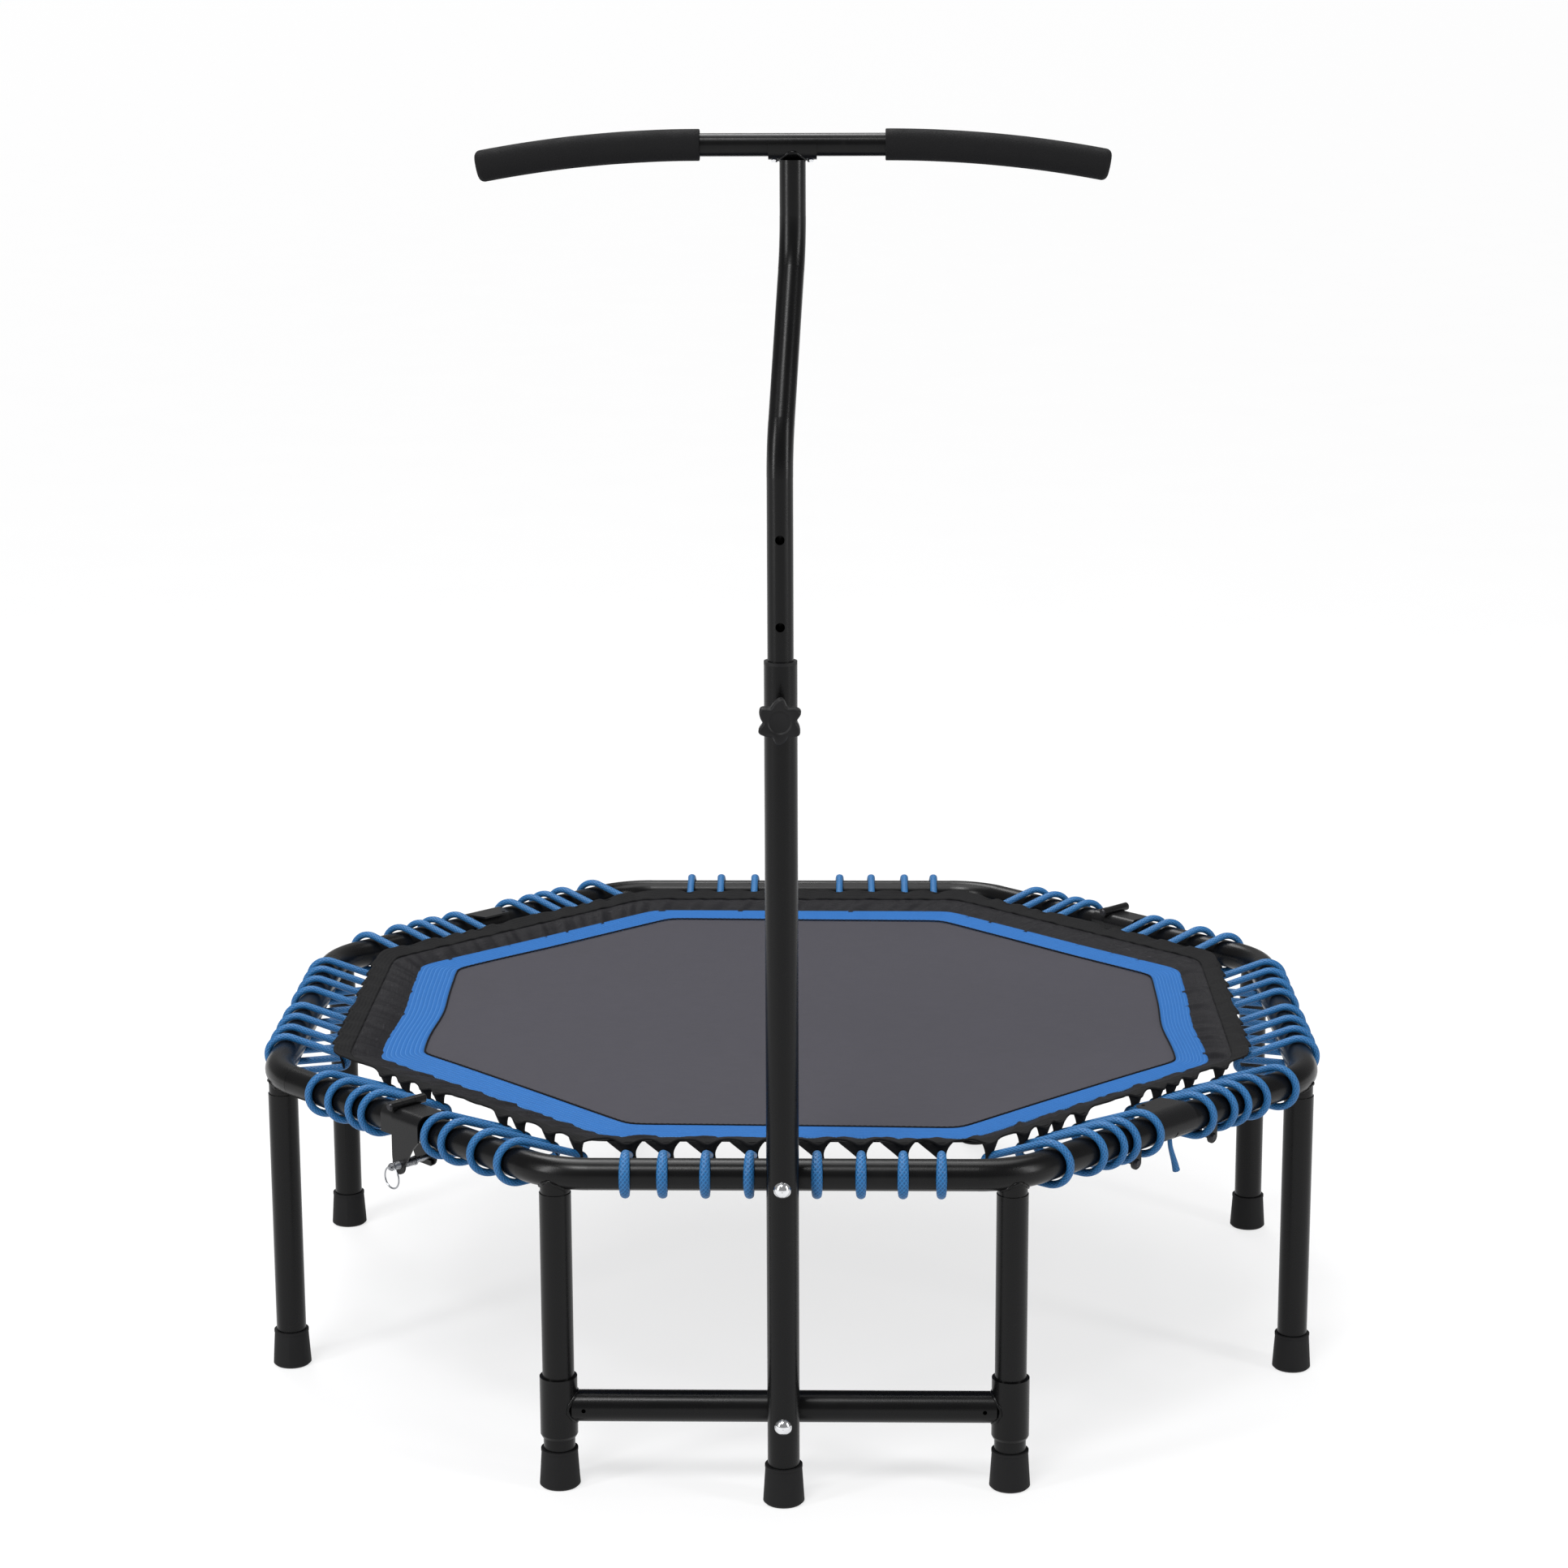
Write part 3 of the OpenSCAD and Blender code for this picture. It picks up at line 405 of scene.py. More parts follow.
def black_tape():
    """Heavy black webbing, ribbed along its length, with a row of stitches at each edge."""
    made = Finish("edge_webbing", specular=0.12)
    where = made.place(use="UV")
    split = made.add("SeparateXYZ", {"Vector": where})
    ribs = made.maths("SINE", made.maths("MULTIPLY", split.outputs["X"], 2 * math.pi / (1.6 * MM)))
    rows = made.maths("SINE", made.maths("MULTIPLY", split.outputs["Y"], 2 * math.pi * 5))
    fuzz = made.noise(900, where, 3.0)
    colour = made.mix(fuzz, (0.004, 0.004, 0.0045), (0.011, 0.011, 0.0115))
    height = made.maths("ADD", made.maths("MULTIPLY", ribs, 0.5), made.maths("MULTIPLY", rows, 0.5))
    return made.done(colour, made.spread(fuzz, 0.3, 0.7, 0.7, 0.85), made.bump(height, 0.25 * MM, 0.6))


def braided_cord():
    """Braided sleeve of an elastic cord: two sets of crossing strands, with painted shade between them and a
    painted highlight on one set's crests. U goes round, V is metres along.
    """
    made = Finish("elastic_cord", specular=0.35)
    where = made.place(use="UV")
    split = made.add("SeparateXYZ", {"Vector": where})
    around = made.maths("MULTIPLY", split.outputs["X"], 2 * math.pi * 8)
    along = made.maths("MULTIPLY", split.outputs["Y"], 2 * math.pi / (4.6 * MM))
    left = made.maths("SINE", made.maths("ADD", around, along))
    right = made.maths("SINE", made.maths("SUBTRACT", around, along))
    braid = made.maths("MAXIMUM", left, right)
    fade = made.noise(35, made.place(), 4.0)
    colour = made.mix(fade, (0.008, 0.1, 0.27), (0.015, 0.145, 0.36))
    # Painted shade: darker where the braid is low, between the strands.
    colour = made.mix(made.spread(braid, -0.2, 1.0, 0.55, 0.0), colour, (0.003, 0.022, 0.09))
    # Painted highlight: lighter on the crests of one set of strands.
    colour = made.mix(made.spread(left, 0.75, 1.0, 0.0, 0.22), colour, (0.1, 0.28, 0.56))
    return made.done(colour, made.spread(fade, 0.3, 0.7, 0.4, 0.52), made.bump(braid, 0.28 * MM, 0.6))


def pale_floor():
    """Pale paper floor. It glows a little, so that shadows on it stay faint."""
    made = Finish("pale_floor", specular=0.1)
    mottle = made.noise(3, made.place(), 4.0)
    colour = made.mix(mottle, (0.235, 0.235, 0.238), (0.255, 0.255, 0.255))
    return made.done(colour, 0.7, Emission_Color=(1, 1, 1, 1), Emission_Strength=0.72)


# ---------- the soft ring round the mat ----------

ring_random = random.Random(7)


def octagon_radius(apothem, angle, sharpness):
    """Distance from the centre to an octagon with softened corners."""
    total = 0.0
    for k in range(8):
        total += max(0.0, math.cos(angle - k * SIDE_TURN)) ** sharpness
    return apothem * total ** (-1 / sharpness)


def side_waver(angle):
    """How far the sewn band strays in or out: most on the left and right sides."""
    loose = 0.5 + 3.2 * abs(math.cos(angle)) ** 8
    return MM * loose * (0.75 * math.sin(8 * angle - 1.2) + 0.25 * math.sin(15 * angle + 0.5))


def cord_angles():
    """The direction of every cord loop's inner end from the centre."""
    found = []
    for k, offset, lean in fixed_loops() + folding_loops():
        inward = Vector((offset + TURN_DEPTH * math.tan(lean), -APOTHEM + TURN_DEPTH, 0))
        turned = Matrix.Rotation(k * SIDE_TURN, 3, "Z") @ inward
        found.append(math.atan2(turned.y, turned.x))
    return found


def loops_on(k, offsets, lean):
    """(side, offset in metres, lean) of each loop of one side."""
    return [(k, offset * MM, lean) for offset in offsets]


def mirrored(offsets):
    """The offsets on both sides of a side's middle."""
    return [-value for value in reversed(offsets)] + offsets


def half_loops(hinge_offsets, slide):
    """(side, offset along it, lean) of each loop of one half, placed as on the fixed half."""
    return (
        loops_on(0, [value + slide for value in mirrored(STRAIGHT_OFFSETS)], 0)
        + loops_on(2, mirrored(STRAIGHT_OFFSETS), 0)
        + loops_on(1, mirrored(BRACKET_OFFSETS), -CORD_LEAN)
        + loops_on(7, hinge_offsets, CORD_LEAN)
        + loops_on(3, [-value for value in hinge_offsets], CORD_LEAN)
    )


def fixed_loops():
    return half_loops(COVER_OFFSETS, 0)


def folding_loops():
    """The same pattern turned by four sides."""
    as_fixed = half_loops(COLLAR_OFFSETS, -BACK_SIDE_SLIDE)
    return [((k + 4) % 8, offset, lean) for k, offset, lean in as_fixed]


def ring_sheet(name, columns, place, thickness):
    """A closed thin ring. place(angle, share) is a point of its top, with share 0 inside and 1 outside."""
    top, bottom, lengths = [], [], [0.0]
    for i in range(RING_STATIONS):
        angle = 2 * math.pi * i / RING_STATIONS
        row = [place(angle, j / (columns - 1)) for j in range(columns)]
        top.append(row)
        bottom.append([point - Vector((0, 0, thickness)) for point in row])
        if i:
            lengths.append(lengths[-1] + (row[0] - top[i - 1][0]).length)
    lengths.append(lengths[-1] + (top[0][0] - top[-1][0]).length)
    points, faces, uvs = [], [], []
    for row, under in zip(top, bottom):
        points += row + under
    wide = 2 * columns
    for i in range(RING_STATIONS):
        a, b = i * wide, ((i + 1) % RING_STATIONS) * wide
        for j in range(columns - 1):
            v1, v2 = j / (columns - 1), (j + 1) / (columns - 1)
            faces.append((a + j, a + j + 1, b + j + 1, b + j))
            uvs += [(lengths[i], v1), (lengths[i], v2), (lengths[i + 1], v2), (lengths[i + 1], v1)]
            under_a, under_b = a + columns + j, b + columns + j
            faces.append((under_a + 1, under_a, under_b, under_b + 1))
            uvs += [(lengths[i], v2), (lengths[i], v1), (lengths[i + 1], v1), (lengths[i + 1], v2)]
        for j, flip in ((0, False), (columns - 1, True)):
            wall = (a + j, b + j, b + columns + j, a + columns + j)
            faces.append(tuple(reversed(wall)) if flip else wall)
            v = j / (columns - 1)
            pairs = [(lengths[i], v), (lengths[i + 1], v), (lengths[i + 1], v), (lengths[i], v)]
            uvs += list(reversed(pairs)) if flip else pairs
    return new_piece(name, points, faces, uvs)


def at(angle, radius, z):
    """A point by its direction and distance from the octagon's centre."""
    return CENTRE + Vector((radius * math.cos(angle), radius * math.sin(angle), z))


def fold_with_frame(piece):
    """Bakes the piece's placement into its mesh."""
    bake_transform(piece)


def make_band():
    """Blue webbing sewn over the mat's edge, quilted between its rows of stitches."""

    def place(angle, share):
        a = MAT_A + (BAND_A - MAT_A) * share
        radius = octagon_radius(a, angle, BAND_SHARPNESS) + side_waver(angle)
        quilted = 0.7 * MM * abs(math.sin(math.pi * BAND_ROWS * share)) ** 0.7
        drift = 1 + (BAND_EDGE_DRIFT - 1) * share
        return drifted(at(angle, radius, border_z(a) + quilted), drift)

    piece = ring_sheet("blue_band", 5 * BAND_ROWS + 1, place, 2.4 * MM)
    return finish_piece(piece, stitched_webbing())


def make_edge_thread():
    """Black thread sewn along the band's inner edge."""
    shape, line = Shape(), []
    for i in range(RING_STATIONS):
        angle = 2 * math.pi * i / RING_STATIONS
        radius = octagon_radius(MAT_A - 1.2 * MM, angle, BAND_SHARPNESS) + side_waver(angle)
        line.append(drifted(at(angle, radius, MAT_TOP + (0.9 if i % 2 else 0.5) * MM)))
    shape.tube(line, 0.9 * MM, 6, closed=True)
    return finish_piece(shape.piece("edge_thread"), black_tape())


GATHER_WAVES = [(61, 0.35), (97, 0.3), (143, 0.22), (188, 0.18), (251, 0.1)]
GATHERS = [(waves, share, ring_random.uniform(0, 6.28)) for waves, share in GATHER_WAVES]


def gather(angle):
    """Depth of the gathers in the skirt, about -1 to 1."""
    total = 0.0
    for waves, share, shift in GATHERS:
        total += share * math.sin(waves * angle + shift)
    return total


def make_skirt():
    """Satin border between the band and the edge webbing, gathered by the pull of the cords."""
    inner, outer = BAND_A - SKIRT_TUCK, SKIRT_A - SKIRT_OUTER_GAP

    def place(angle, share):
        a = inner + (outer - inner) * share
        radius = octagon_radius(a, angle, SKIRT_SHARPNESS) + side_waver(angle) * (1 - share)
        depth = math.sin(math.pi * min(1.0, 0.12 + share)) ** 0.6
        puff = 1.8 * MM * math.sin(math.pi * share)
        gathered = 2.6 * MM * depth * gather(angle + 0.05 * share)
        spot = at(angle, radius, border_z(a) - 0.8 * MM + puff + gathered)
        return drifted(spot, BAND_EDGE_DRIFT * (1 - share))

    piece = ring_sheet("skirt", 14, place, 1.2 * MM)
    return finish_piece(piece, skirt_cloth())


def make_edge_webbing(pulls):
    """Heavy tape round the skirt. Each cord pulls it out to a low point."""
    inner, outer = SKIRT_A - EDGE_WEBBING_INNER_GAP, SKIRT_A - EDGE_WEBBING_OUTER_GAP
    pull_half = 9 * MM / SKIRT_A

    def pulled(angle):
        most = 0.0
        for other in pulls:
            apart = (angle - other + math.pi) % (2 * math.pi) - math.pi
            if abs(apart) < 4 * pull_half:
                most = max(most, math.exp(-((apart / pull_half) ** 2)))
        return most

    cache = {}

    def place(angle, share):
        pull = cache.setdefault(angle, pulled(angle))
        a = inner + (outer - inner) * share
        radius = octagon_radius(a, angle, SKIRT_SHARPNESS) + share * MM * (5.5 * pull - 2)
        ripple = 1.1 * MM * gather(angle + 0.05) * (1 - 0.4 * share)
        dip = share ** 2 * (4.5 * pull - 1.0) * MM
        return at(angle, radius, border_z(a) + 1.0 * MM + ripple - dip)

    piece = ring_sheet("edge_webbing", 10, place, 2.2 * MM)
    return finish_piece(piece, tape_finish)


def make_jump_mat():
    """The taut woven bed, which runs on under the band."""
    rings, spokes = 44, 240
    reach = MAT_A + MAT_TUCK
    points, faces, uvs = [drifted(CENTRE + Vector((0, 0, MAT_TOP)))], [], []
    for i in range(1, rings + 1):
        for j in range(spokes):
            angle = 2 * math.pi * j / spokes
            radius = octagon_radius(reach, angle, MAT_SHARPNESS) * i / rings
            spot = drifted(at(angle, radius, 0))
            edge = max(0.0, radius / octagon_radius(MAT_A, angle, MAT_SHARPNESS) - 0.985) / 0.04
            ripple = 0.35 * MM * noise.noise(spot * 9) - 0.9 * MM * min(1.0, edge)
            points.append(spot + Vector((0, 0, MAT_TOP - 0.4 * MM + ripple)))
    for j in range(spokes):
        faces.append((0, 1 + j, 1 + (j + 1) % spokes))
    for i in range(rings - 1):
        a, b = 1 + i * spokes, 1 + (i + 1) * spokes
        for j in range(spokes):
            k = (j + 1) % spokes
            faces.append((a + j, b + j, b + k, a + k))
    for face in faces:
        uvs += [(points[v].x, points[v].y) for v in face]
    piece = new_piece("jump_mat", points, faces, uvs)
    thick = piece.modifiers.new("cloth", "SOLIDIFY")
    thick.thickness = 1.2 * MM
    thick.offset = -1
    return finish_piece(piece, woven_mat())


def make_soft_ring():
    """The bed and its borders, each one sheet that spans both halves of the frame."""
    pulls = cord_angles()
    mat, band, thread = make_jump_mat(), make_band(), make_edge_thread()
    skirt, webbing = make_skirt(), make_edge_webbing(pulls)
    for piece in (mat, band, thread, skirt, webbing):
        fold_with_frame(piece)
    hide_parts("mat_fixed", "mat_folding")
    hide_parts("band_fixed", "band_folding")
    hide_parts("skirt_fixed", "skirt_folding")


# ---------- cords ----------


def on_side(k, point):
    """A point given as for the front side, turned to side k about the octagon's centre."""
    return CENTRE + Matrix.Rotation(k * SIDE_TURN, 3, "Z") @ point


def straight_run(start, end, steps):
    """The points between two ends of a strand, without the ends."""
    return [
        (start[0] + (end[0] - start[0]) * i / steps, start[1] + (end[1] - start[1]) * i / steps)
        for i in range(1, steps)
    ]


def loop_line(lean, thick):
    """One closed cord loop about the front rail, in its own plane.

    Gives (across, height, share round the rail) of each point, with the share 0 away from the rail.
    """
    wrap = (RAIL_R + thick + 0.3 * MM) / math.cos(lean)
    depth = TURN_DEPTH / math.cos(lean)
    span = math.hypot(depth, TURN_DROP)
    taper = math.asin((wrap - TURN_R) / span)
    top, low = math.pi / 2 - taper, taper - math.pi / 2
    wrap_steps, turn_steps, strand_steps = 28, 12, 8

    def on_wrap(turn):
        return (wrap * math.cos(turn), wrap * math.sin(turn))

    def on_turn(turn):
        return (span + TURN_R * math.cos(turn), TURN_R * math.sin(turn))

    line = []
    for i in range(wrap_steps + 1):
        line.append((*on_wrap(top + (math.pi + 2 * taper) * i / wrap_steps), i / wrap_steps))
    line += [(*point, 0) for point in straight_run(on_wrap(low), on_turn(low), strand_steps)]
    for i in range(turn_steps + 1):
        line.append((*on_turn(low + (math.pi - 2 * taper) * i / turn_steps), 0))
    line += [(*point, 0) for point in straight_run(on_turn(top), on_wrap(top), strand_steps)]
    tilt = -math.atan2(TURN_DROP, depth)
    cos_tilt, sin_tilt = math.cos(tilt), math.sin(tilt)
    return [(x * cos_tilt - z * sin_tilt, x * sin_tilt + z * cos_tilt, share) for x, z, share in line]


def cord_rows(line, along_rail, half_width, thick, spread):
    """Rings of an oval cord. It is flattened by the given spread where it bears on the rail."""
    count, sides, rows = len(line), 16, []
    for i, (point, share) in enumerate(line):
        ahead = (line[(i + 1) % count][0] - line[i - 1][0]).normalized()
        outward = along_rail.cross(ahead).normalized()
        wide = half_width + spread * math.sin(math.pi * share)
        row = []
        for k in range(sides):
            turn = 2 * math.pi * k / sides
            row.append(point + wide * math.cos(turn) * along_rail + thick * math.sin(turn) * outward)
        rows.append(row)
    return rows


def make_cords(name, loops, body, node, chance):
    """The elastic loops of one half, each a little uneven."""
    shape = Shape()
    for k, offset, lean in loops:
        front_or_back = k % 4 == 0
        half_width = chance.uniform(4.1, 4.4) * MM
        spread = (1.3 if front_or_back else 0.4) * MM
        thick = 3.9 * MM
        sway = lean + math.radians(chance.uniform(-1.6, 1.6))
        slide = offset + chance.uniform(-1.2, 1.2) * MM
        turn = Matrix.Rotation(-sway, 3, "Z")
        line = []
        for across, height, share in loop_line(sway, thick):
            flat = turn @ Vector((0, across, 0))
            line.append((on_side(k, Vector((slide, -APOTHEM, RAIL_Z + height)) + flat), share))
        along_rail = (on_side(k, turn @ Vector((1, 0, 0))) - on_side(k, Vector((0, 0, 0)))).normalized()
        shape.grid(
            cord_rows(line, along_rail, half_width, thick, spread), closed_rows=True, closed_columns=True
        )
    piece = finish_piece(shape.piece(name), cord_finish)
    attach(piece, body)
    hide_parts(node)


def make_cord_fins(name, loops, body):
    """Black fins of the edge webbing. Each curves down to the turn of its cord and holds it."""
    shape = Shape()
    rows, columns = 10, 5
    top_z, low_z = SKIRT_TOP - 2 * MM, RAIL_Z - TURN_DROP - 5 * MM
    for k, offset, lean in loops:
        middle = offset + TURN_DEPTH * math.tan(lean)
        root_half, drift = (15 * MM, 13 * MM) if lean == 0 else (8 * MM, 3 * MM)
        sheet = []
        for i in range(rows):
            down = i / (rows - 1)
            half = root_half * (1 - down) ** 2 + 3 * MM
            centre_x = middle + drift * (down ** 1.6 - 0.35)
            depth = APOTHEM - SKIRT_A + (1 + 9 * down ** 1.5) * MM
            z = top_z + (low_z - top_z) * down
            across = []
            for j in range(columns):
                share = 2 * j / (columns - 1) - 1
                cup = 2 * MM * share ** 2 * (1 - down)
                across.append(on_side(k, Vector((centre_x + half * share, -APOTHEM + depth + cup, z))))
            sheet.append(across)
        inward = (on_side(k, Vector((0, 1, 0))) - on_side(k, Vector((0, 0, 0)))).normalized()
        back = [[point + 1.6 * MM * inward for point in reversed(row)] for row in sheet]
        outline = [front + rear for front, rear in zip(sheet, back)]
        base = len(shape.points)
        shape.grid(outline, closed_columns=True)
        shape.cap(base, 2 * columns, flip=True)
        shape.cap(base + (rows - 1) * 2 * columns, 2 * columns)
    piece = finish_piece(shape.piece(name), tape_finish)
    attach(piece, body)


def bracket_point(x, y, z):
    """A point in the front right bracket's own frame: x towards the front section, y outwards."""
    turned = Matrix.Rotation(math.radians(-135), 3, "Z") @ Vector((x, y, 0))
    half = APOTHEM * math.sqrt(0.5)
    return CENTRE + Vector((half, -half, RAIL_Z + z)) + turned


def make_cord_tail():
    """Loose end of the elastic. The route is the CAD's, smoothed to more points."""
    route_mm = [(-3, 1, -16.2), (-4, 1.2, -24), (-6, 1.5, -31)]
    route_mm += [(-8.5, 1.8, -38), (-11, 2, -45), (-13.5, 2, -52.5)]
    corners = [bracket_point(x * MM, y * MM, z * MM) for x, y, z in route_mm]
    line = []
    for i in range(len(corners) - 1):
        before, a = corners[max(0, i - 1)], corners[i]
        b, after = corners[i + 1], corners[min(len(corners) - 1, i + 2)]
        for j in range(4):
            t = j / 4
            pull = (b - before) * t + (2 * before - 5 * a + 4 * b - after) * t * t
            line.append(a + 0.5 * (pull + (3 * a - before - 3 * b + after) * t ** 3))
    line.append(corners[-1])
    radii = [(2.5 + 1.6 * (i / (len(line) - 1)) ** 2) * MM for i in range(len(line))]
    shape = Shape()
    shape.tube(line, radii, 12)
    piece = finish_piece(shape.piece("cord_tail_end"), cord_finish)
    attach(piece, "fixed_half")
    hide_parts("cord_tail")


# ---------- handle ----------


def make_grip(name, side, node):
    """Foam tube on the drooping end of the T-bar, rounded at its outer end."""
    low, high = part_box(node)
    radius = (high.y - low.y) / 2
    bar_low, bar_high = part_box("handle_bar")
    bar_x = (bar_low.x + bar_high.x) / 2
    inner_x = min(abs(low.x - bar_x), abs(high.x - bar_x))
    length, droop = 0.212, 0.020
    arc_r = length ** 2 / (2 * droop)
    arc_angle = math.asin(length / arc_r)
    bar_z, bar_y = high.z - radius, (low.y + high.y) / 2

    def along(distance):
        turn = distance / arc_r
        x = bar_x + side * (inner_x + arc_r * math.sin(turn))
        return Vector((x, bar_y, bar_z - arc_r * (1 - math.cos(turn))))

    total = arc_r * arc_angle
    stations = [(0.0, T_BAR_R), (0.0, radius - 0.8 * MM), (0.3 * MM, radius - 0.2 * MM), (0.9 * MM, radius)]
    stations += [(total * share / 40, radius) for share in range(1, 38)]
    fillet = 6 * MM
    for i in range(9):
        turn = math.pi / 2 * i / 8
        stations.append((total - fillet * (1 - math.sin(turn)), radius - fillet * (1 - math.cos(turn))))
    stations += [(total + 0.3 * MM, radius - 9 * MM), (total + 0.35 * MM, 2 * MM)]
    sides, rows = 40, []
    for distance, r in stations:
        centre = along(distance)
        ahead = (along(distance + MM) - along(distance - MM)).normalized()
        up = Vector((0, 1, 0)).cross(ahead).normalized()
        ring = []
        for k in range(sides):
            turn = 2 * math.pi * k / sides
            uneven = 1 + 0.006 * noise.noise(centre * 30 + Vector((math.cos(turn), math.sin(turn), 0)))
            ring.append(centre + r * uneven * (math.cos(turn) * up + math.sin(turn) * Vector((0, 1, 0))))
        rows.append(ring)
    shape = Shape()
    shape.grid(rows, closed_columns=True)
    shape.cap((len(rows) - 1) * sides, sides)
    piece = finish_piece(shape.piece(name), foam_finish)
    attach(piece, "handle")
    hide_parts(node)


def quarter_turns(steps=6):
    """(1 - cosine, 1 - sine) through a quarter turn, for a rolled edge."""
    turns = [math.pi / 2 * i / steps for i in range(steps + 1)]
    return [(1 - math.cos(turn), 1 - math.sin(turn)) for turn in turns]


def make_star_knob():
    """Six-lobed hand knob with rolled edges and a shallow round recess in its face."""
    low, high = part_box("star_knob")
    centre_x, centre_z = (low.x + high.x) / 2, (low.z + high.z) / 2
    mean_r, lobe, roll = 19.2 * MM, 2.9 * MM, 3 * MM
    head, neck_r, length = 15 * MM, 10 * MM, high.y - low.y
    sides = 120

    def outline(turn, inset):
        return mean_r + lobe * math.cos(6 * turn + math.pi) - 0.5 * MM * math.sin(12 * turn) - inset

    recess = [(1.5, 0.5), (1.5, 9.6), (1.3, 10.3), (0.4, 10.9), (0.0, 11.8)]
    profile = [(y * MM, "round", r * MM) for y, r in recess]
    profile += [(roll * fall, "lobed", roll * rise) for fall, rise in quarter_turns()]
    profile += [(head - roll * rise, "lobed", roll * fall) for fall, rise in quarter_turns()]
    profile += [(head, "round", 13 * MM), (head + 0.4 * MM, "round", neck_r + 0.6 * MM)]
    profile += [(head + 1.2 * MM, "round", neck_r), (length, "round", neck_r), (length, "round", 4.2 * MM)]
    rows = []
    for y, kind, value in profile:
        ring = []
        for k in range(sides):
            turn = 2 * math.pi * k / sides
            r = value if kind == "round" else outline(turn, value)
            ring.append(Vector((centre_x + r * math.cos(turn), low.y + y, centre_z + r * math.sin(turn))))
        rows.append(ring)
    shape = Shape()
    shape.grid(rows, closed_columns=True)
    shape.cap(0, sides, flip=True)
    piece = finish_piece(shape.piece("star_knob_moulding"), nylon_finish)
    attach(piece, "knob")
    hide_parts("star_knob")


# ---------- welds and springs ----------


def bead(shape, line, chance, size):
    """A lumpy weld bead along a closed line."""
    radii = [size * (1 + 0.28 * math.sin(2.1 * i) + chance.uniform(-0.12, 0.12)) for i in range(len(line))]
    shape.tube(line, radii, 8, closed=True)


def leg_weld(shape, node, chance):
    """Bead where a leg's collar meets the bend of the rail above it."""
    low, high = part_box(node)
    centre = (low + high) / 2
    collar_r = RAIL_R - 1 * MM
    run = (APOTHEM - RAIL_BEND_R) * math.tan(CORNER)
    ends = [Vector((hand * run, -APOTHEM + RAIL_BEND_R, 0)) for hand in (-1, 1)]
    pivots = [on_side(k, end) for k in range(8) for end in ends]
    pivot = min(pivots, key=lambda spot: (spot - centre).to_2d().length)
    line = []
    for i in range(36):
        turn = 2 * math.pi * i / 36
        x, y = centre.x + collar_r * math.cos(turn), centre.y + collar_r * math.sin(turn)
        off = math.hypot(x - pivot.x, y - pivot.y) - RAIL_BEND_R
        drop = math.sqrt(max(0.0, (RAIL_R + BEND_SWELL) ** 2 - off ** 2))
        line.append(Vector((x, y, RAIL_Z - drop)))
    bead(shape, line, chance, 1.7 * MM)


def crossbar_welds(shape, chance):
    """Beads where the crossbar meets the sleeves on the two front legs."""
    sleeve_low, sleeve_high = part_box("crossbar_right_sleeve")
    bar_low, bar_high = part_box("crossbar")
    centre_z = (bar_low.z + bar_high.z) / 2
    centre_y = (bar_low.y + bar_high.y) / 2
    sleeve_x, sleeve_r = (sleeve_low.x + sleeve_high.x) / 2, (sleeve_high.x - sleeve_low.x) / 2
    bar_r = (bar_high.z - bar_low.z) / 2
    for side in (-1, 1):
        line = []
        for i in range(36):
            turn = 2 * math.pi * i / 36
            y = bar_r * math.cos(turn)
            x = side * (sleeve_x - math.sqrt(sleeve_r ** 2 - y ** 2))
            line.append(Vector((x, centre_y + y, centre_z + bar_r * math.sin(turn))))
        bead(shape, line, chance, 1.6 * MM)


def boss_weld(shape, chance):
    """Bead round the nut boss that the star knob screws into."""
    boss_low, boss_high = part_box("knob_boss")
    post_low, post_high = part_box("post")
    boss_r, post_r = (boss_high.x - boss_low.x) / 2, (post_high.x - post_low.x) / 2
    centre_y = (post_low.y + post_high.y) / 2
    centre_z = (boss_low.z + boss_high.z) / 2
    line = []
    for i in range(28):
        turn = 2 * math.pi * i / 28
        x = boss_r * math.cos(turn)
        y = centre_y - math.sqrt(post_r ** 2 - x ** 2)
        line.append(Vector((x, y, centre_z + boss_r * math.sin(turn))))
    bead(shape, line, chance, 1.1 * MM)


def saddle_weld(shape, chance):
    """Bead where the handle tube meets the saddle under the T-bar."""
    low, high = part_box("bar_saddle")
    saddle_r = (high.y - low.y) / 2
    middle = (low + high) / 2
    bar_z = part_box("handle_tube")[1].z + saddle_r
    line = []
    for i in range(32):
        turn = 2 * math.pi * i / 32
        x, y = HANDLE_TUBE_R * math.cos(turn), HANDLE_TUBE_R * math.sin(turn)
        line.append(Vector((middle.x + x, middle.y + y, bar_z - math.sqrt(saddle_r ** 2 - y ** 2))))
    bead(shape, line, chance, 1.4 * MM)


def make_welds():
    """All weld beads, one mesh for each body."""
    chance = random.Random(11)
    fixed, folding, handle = Shape(), Shape(), Shape()
    for node in ("front_left_leg", "front_right_leg", "right_front_leg", "right_back_leg"):
        leg_weld(fixed, node, chance)
    for node in ("back_right_leg", "back_left_leg", "left_back_leg", "left_front_leg"):
        leg_weld(folding, node, chance)
    crossbar_welds(fixed, chance)
    boss_weld(fixed, chance)
    saddle_weld(handle, chance)
    for shape, name, body in (
        (fixed, "welds_fixed", "fixed_half"),
        (folding, "welds_folding", "folding_half"),
        (handle, "weld_handle", "handle"),
    ):
        piece = finish_piece(shape.piece(name), coat_finish)
        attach(piece, body)


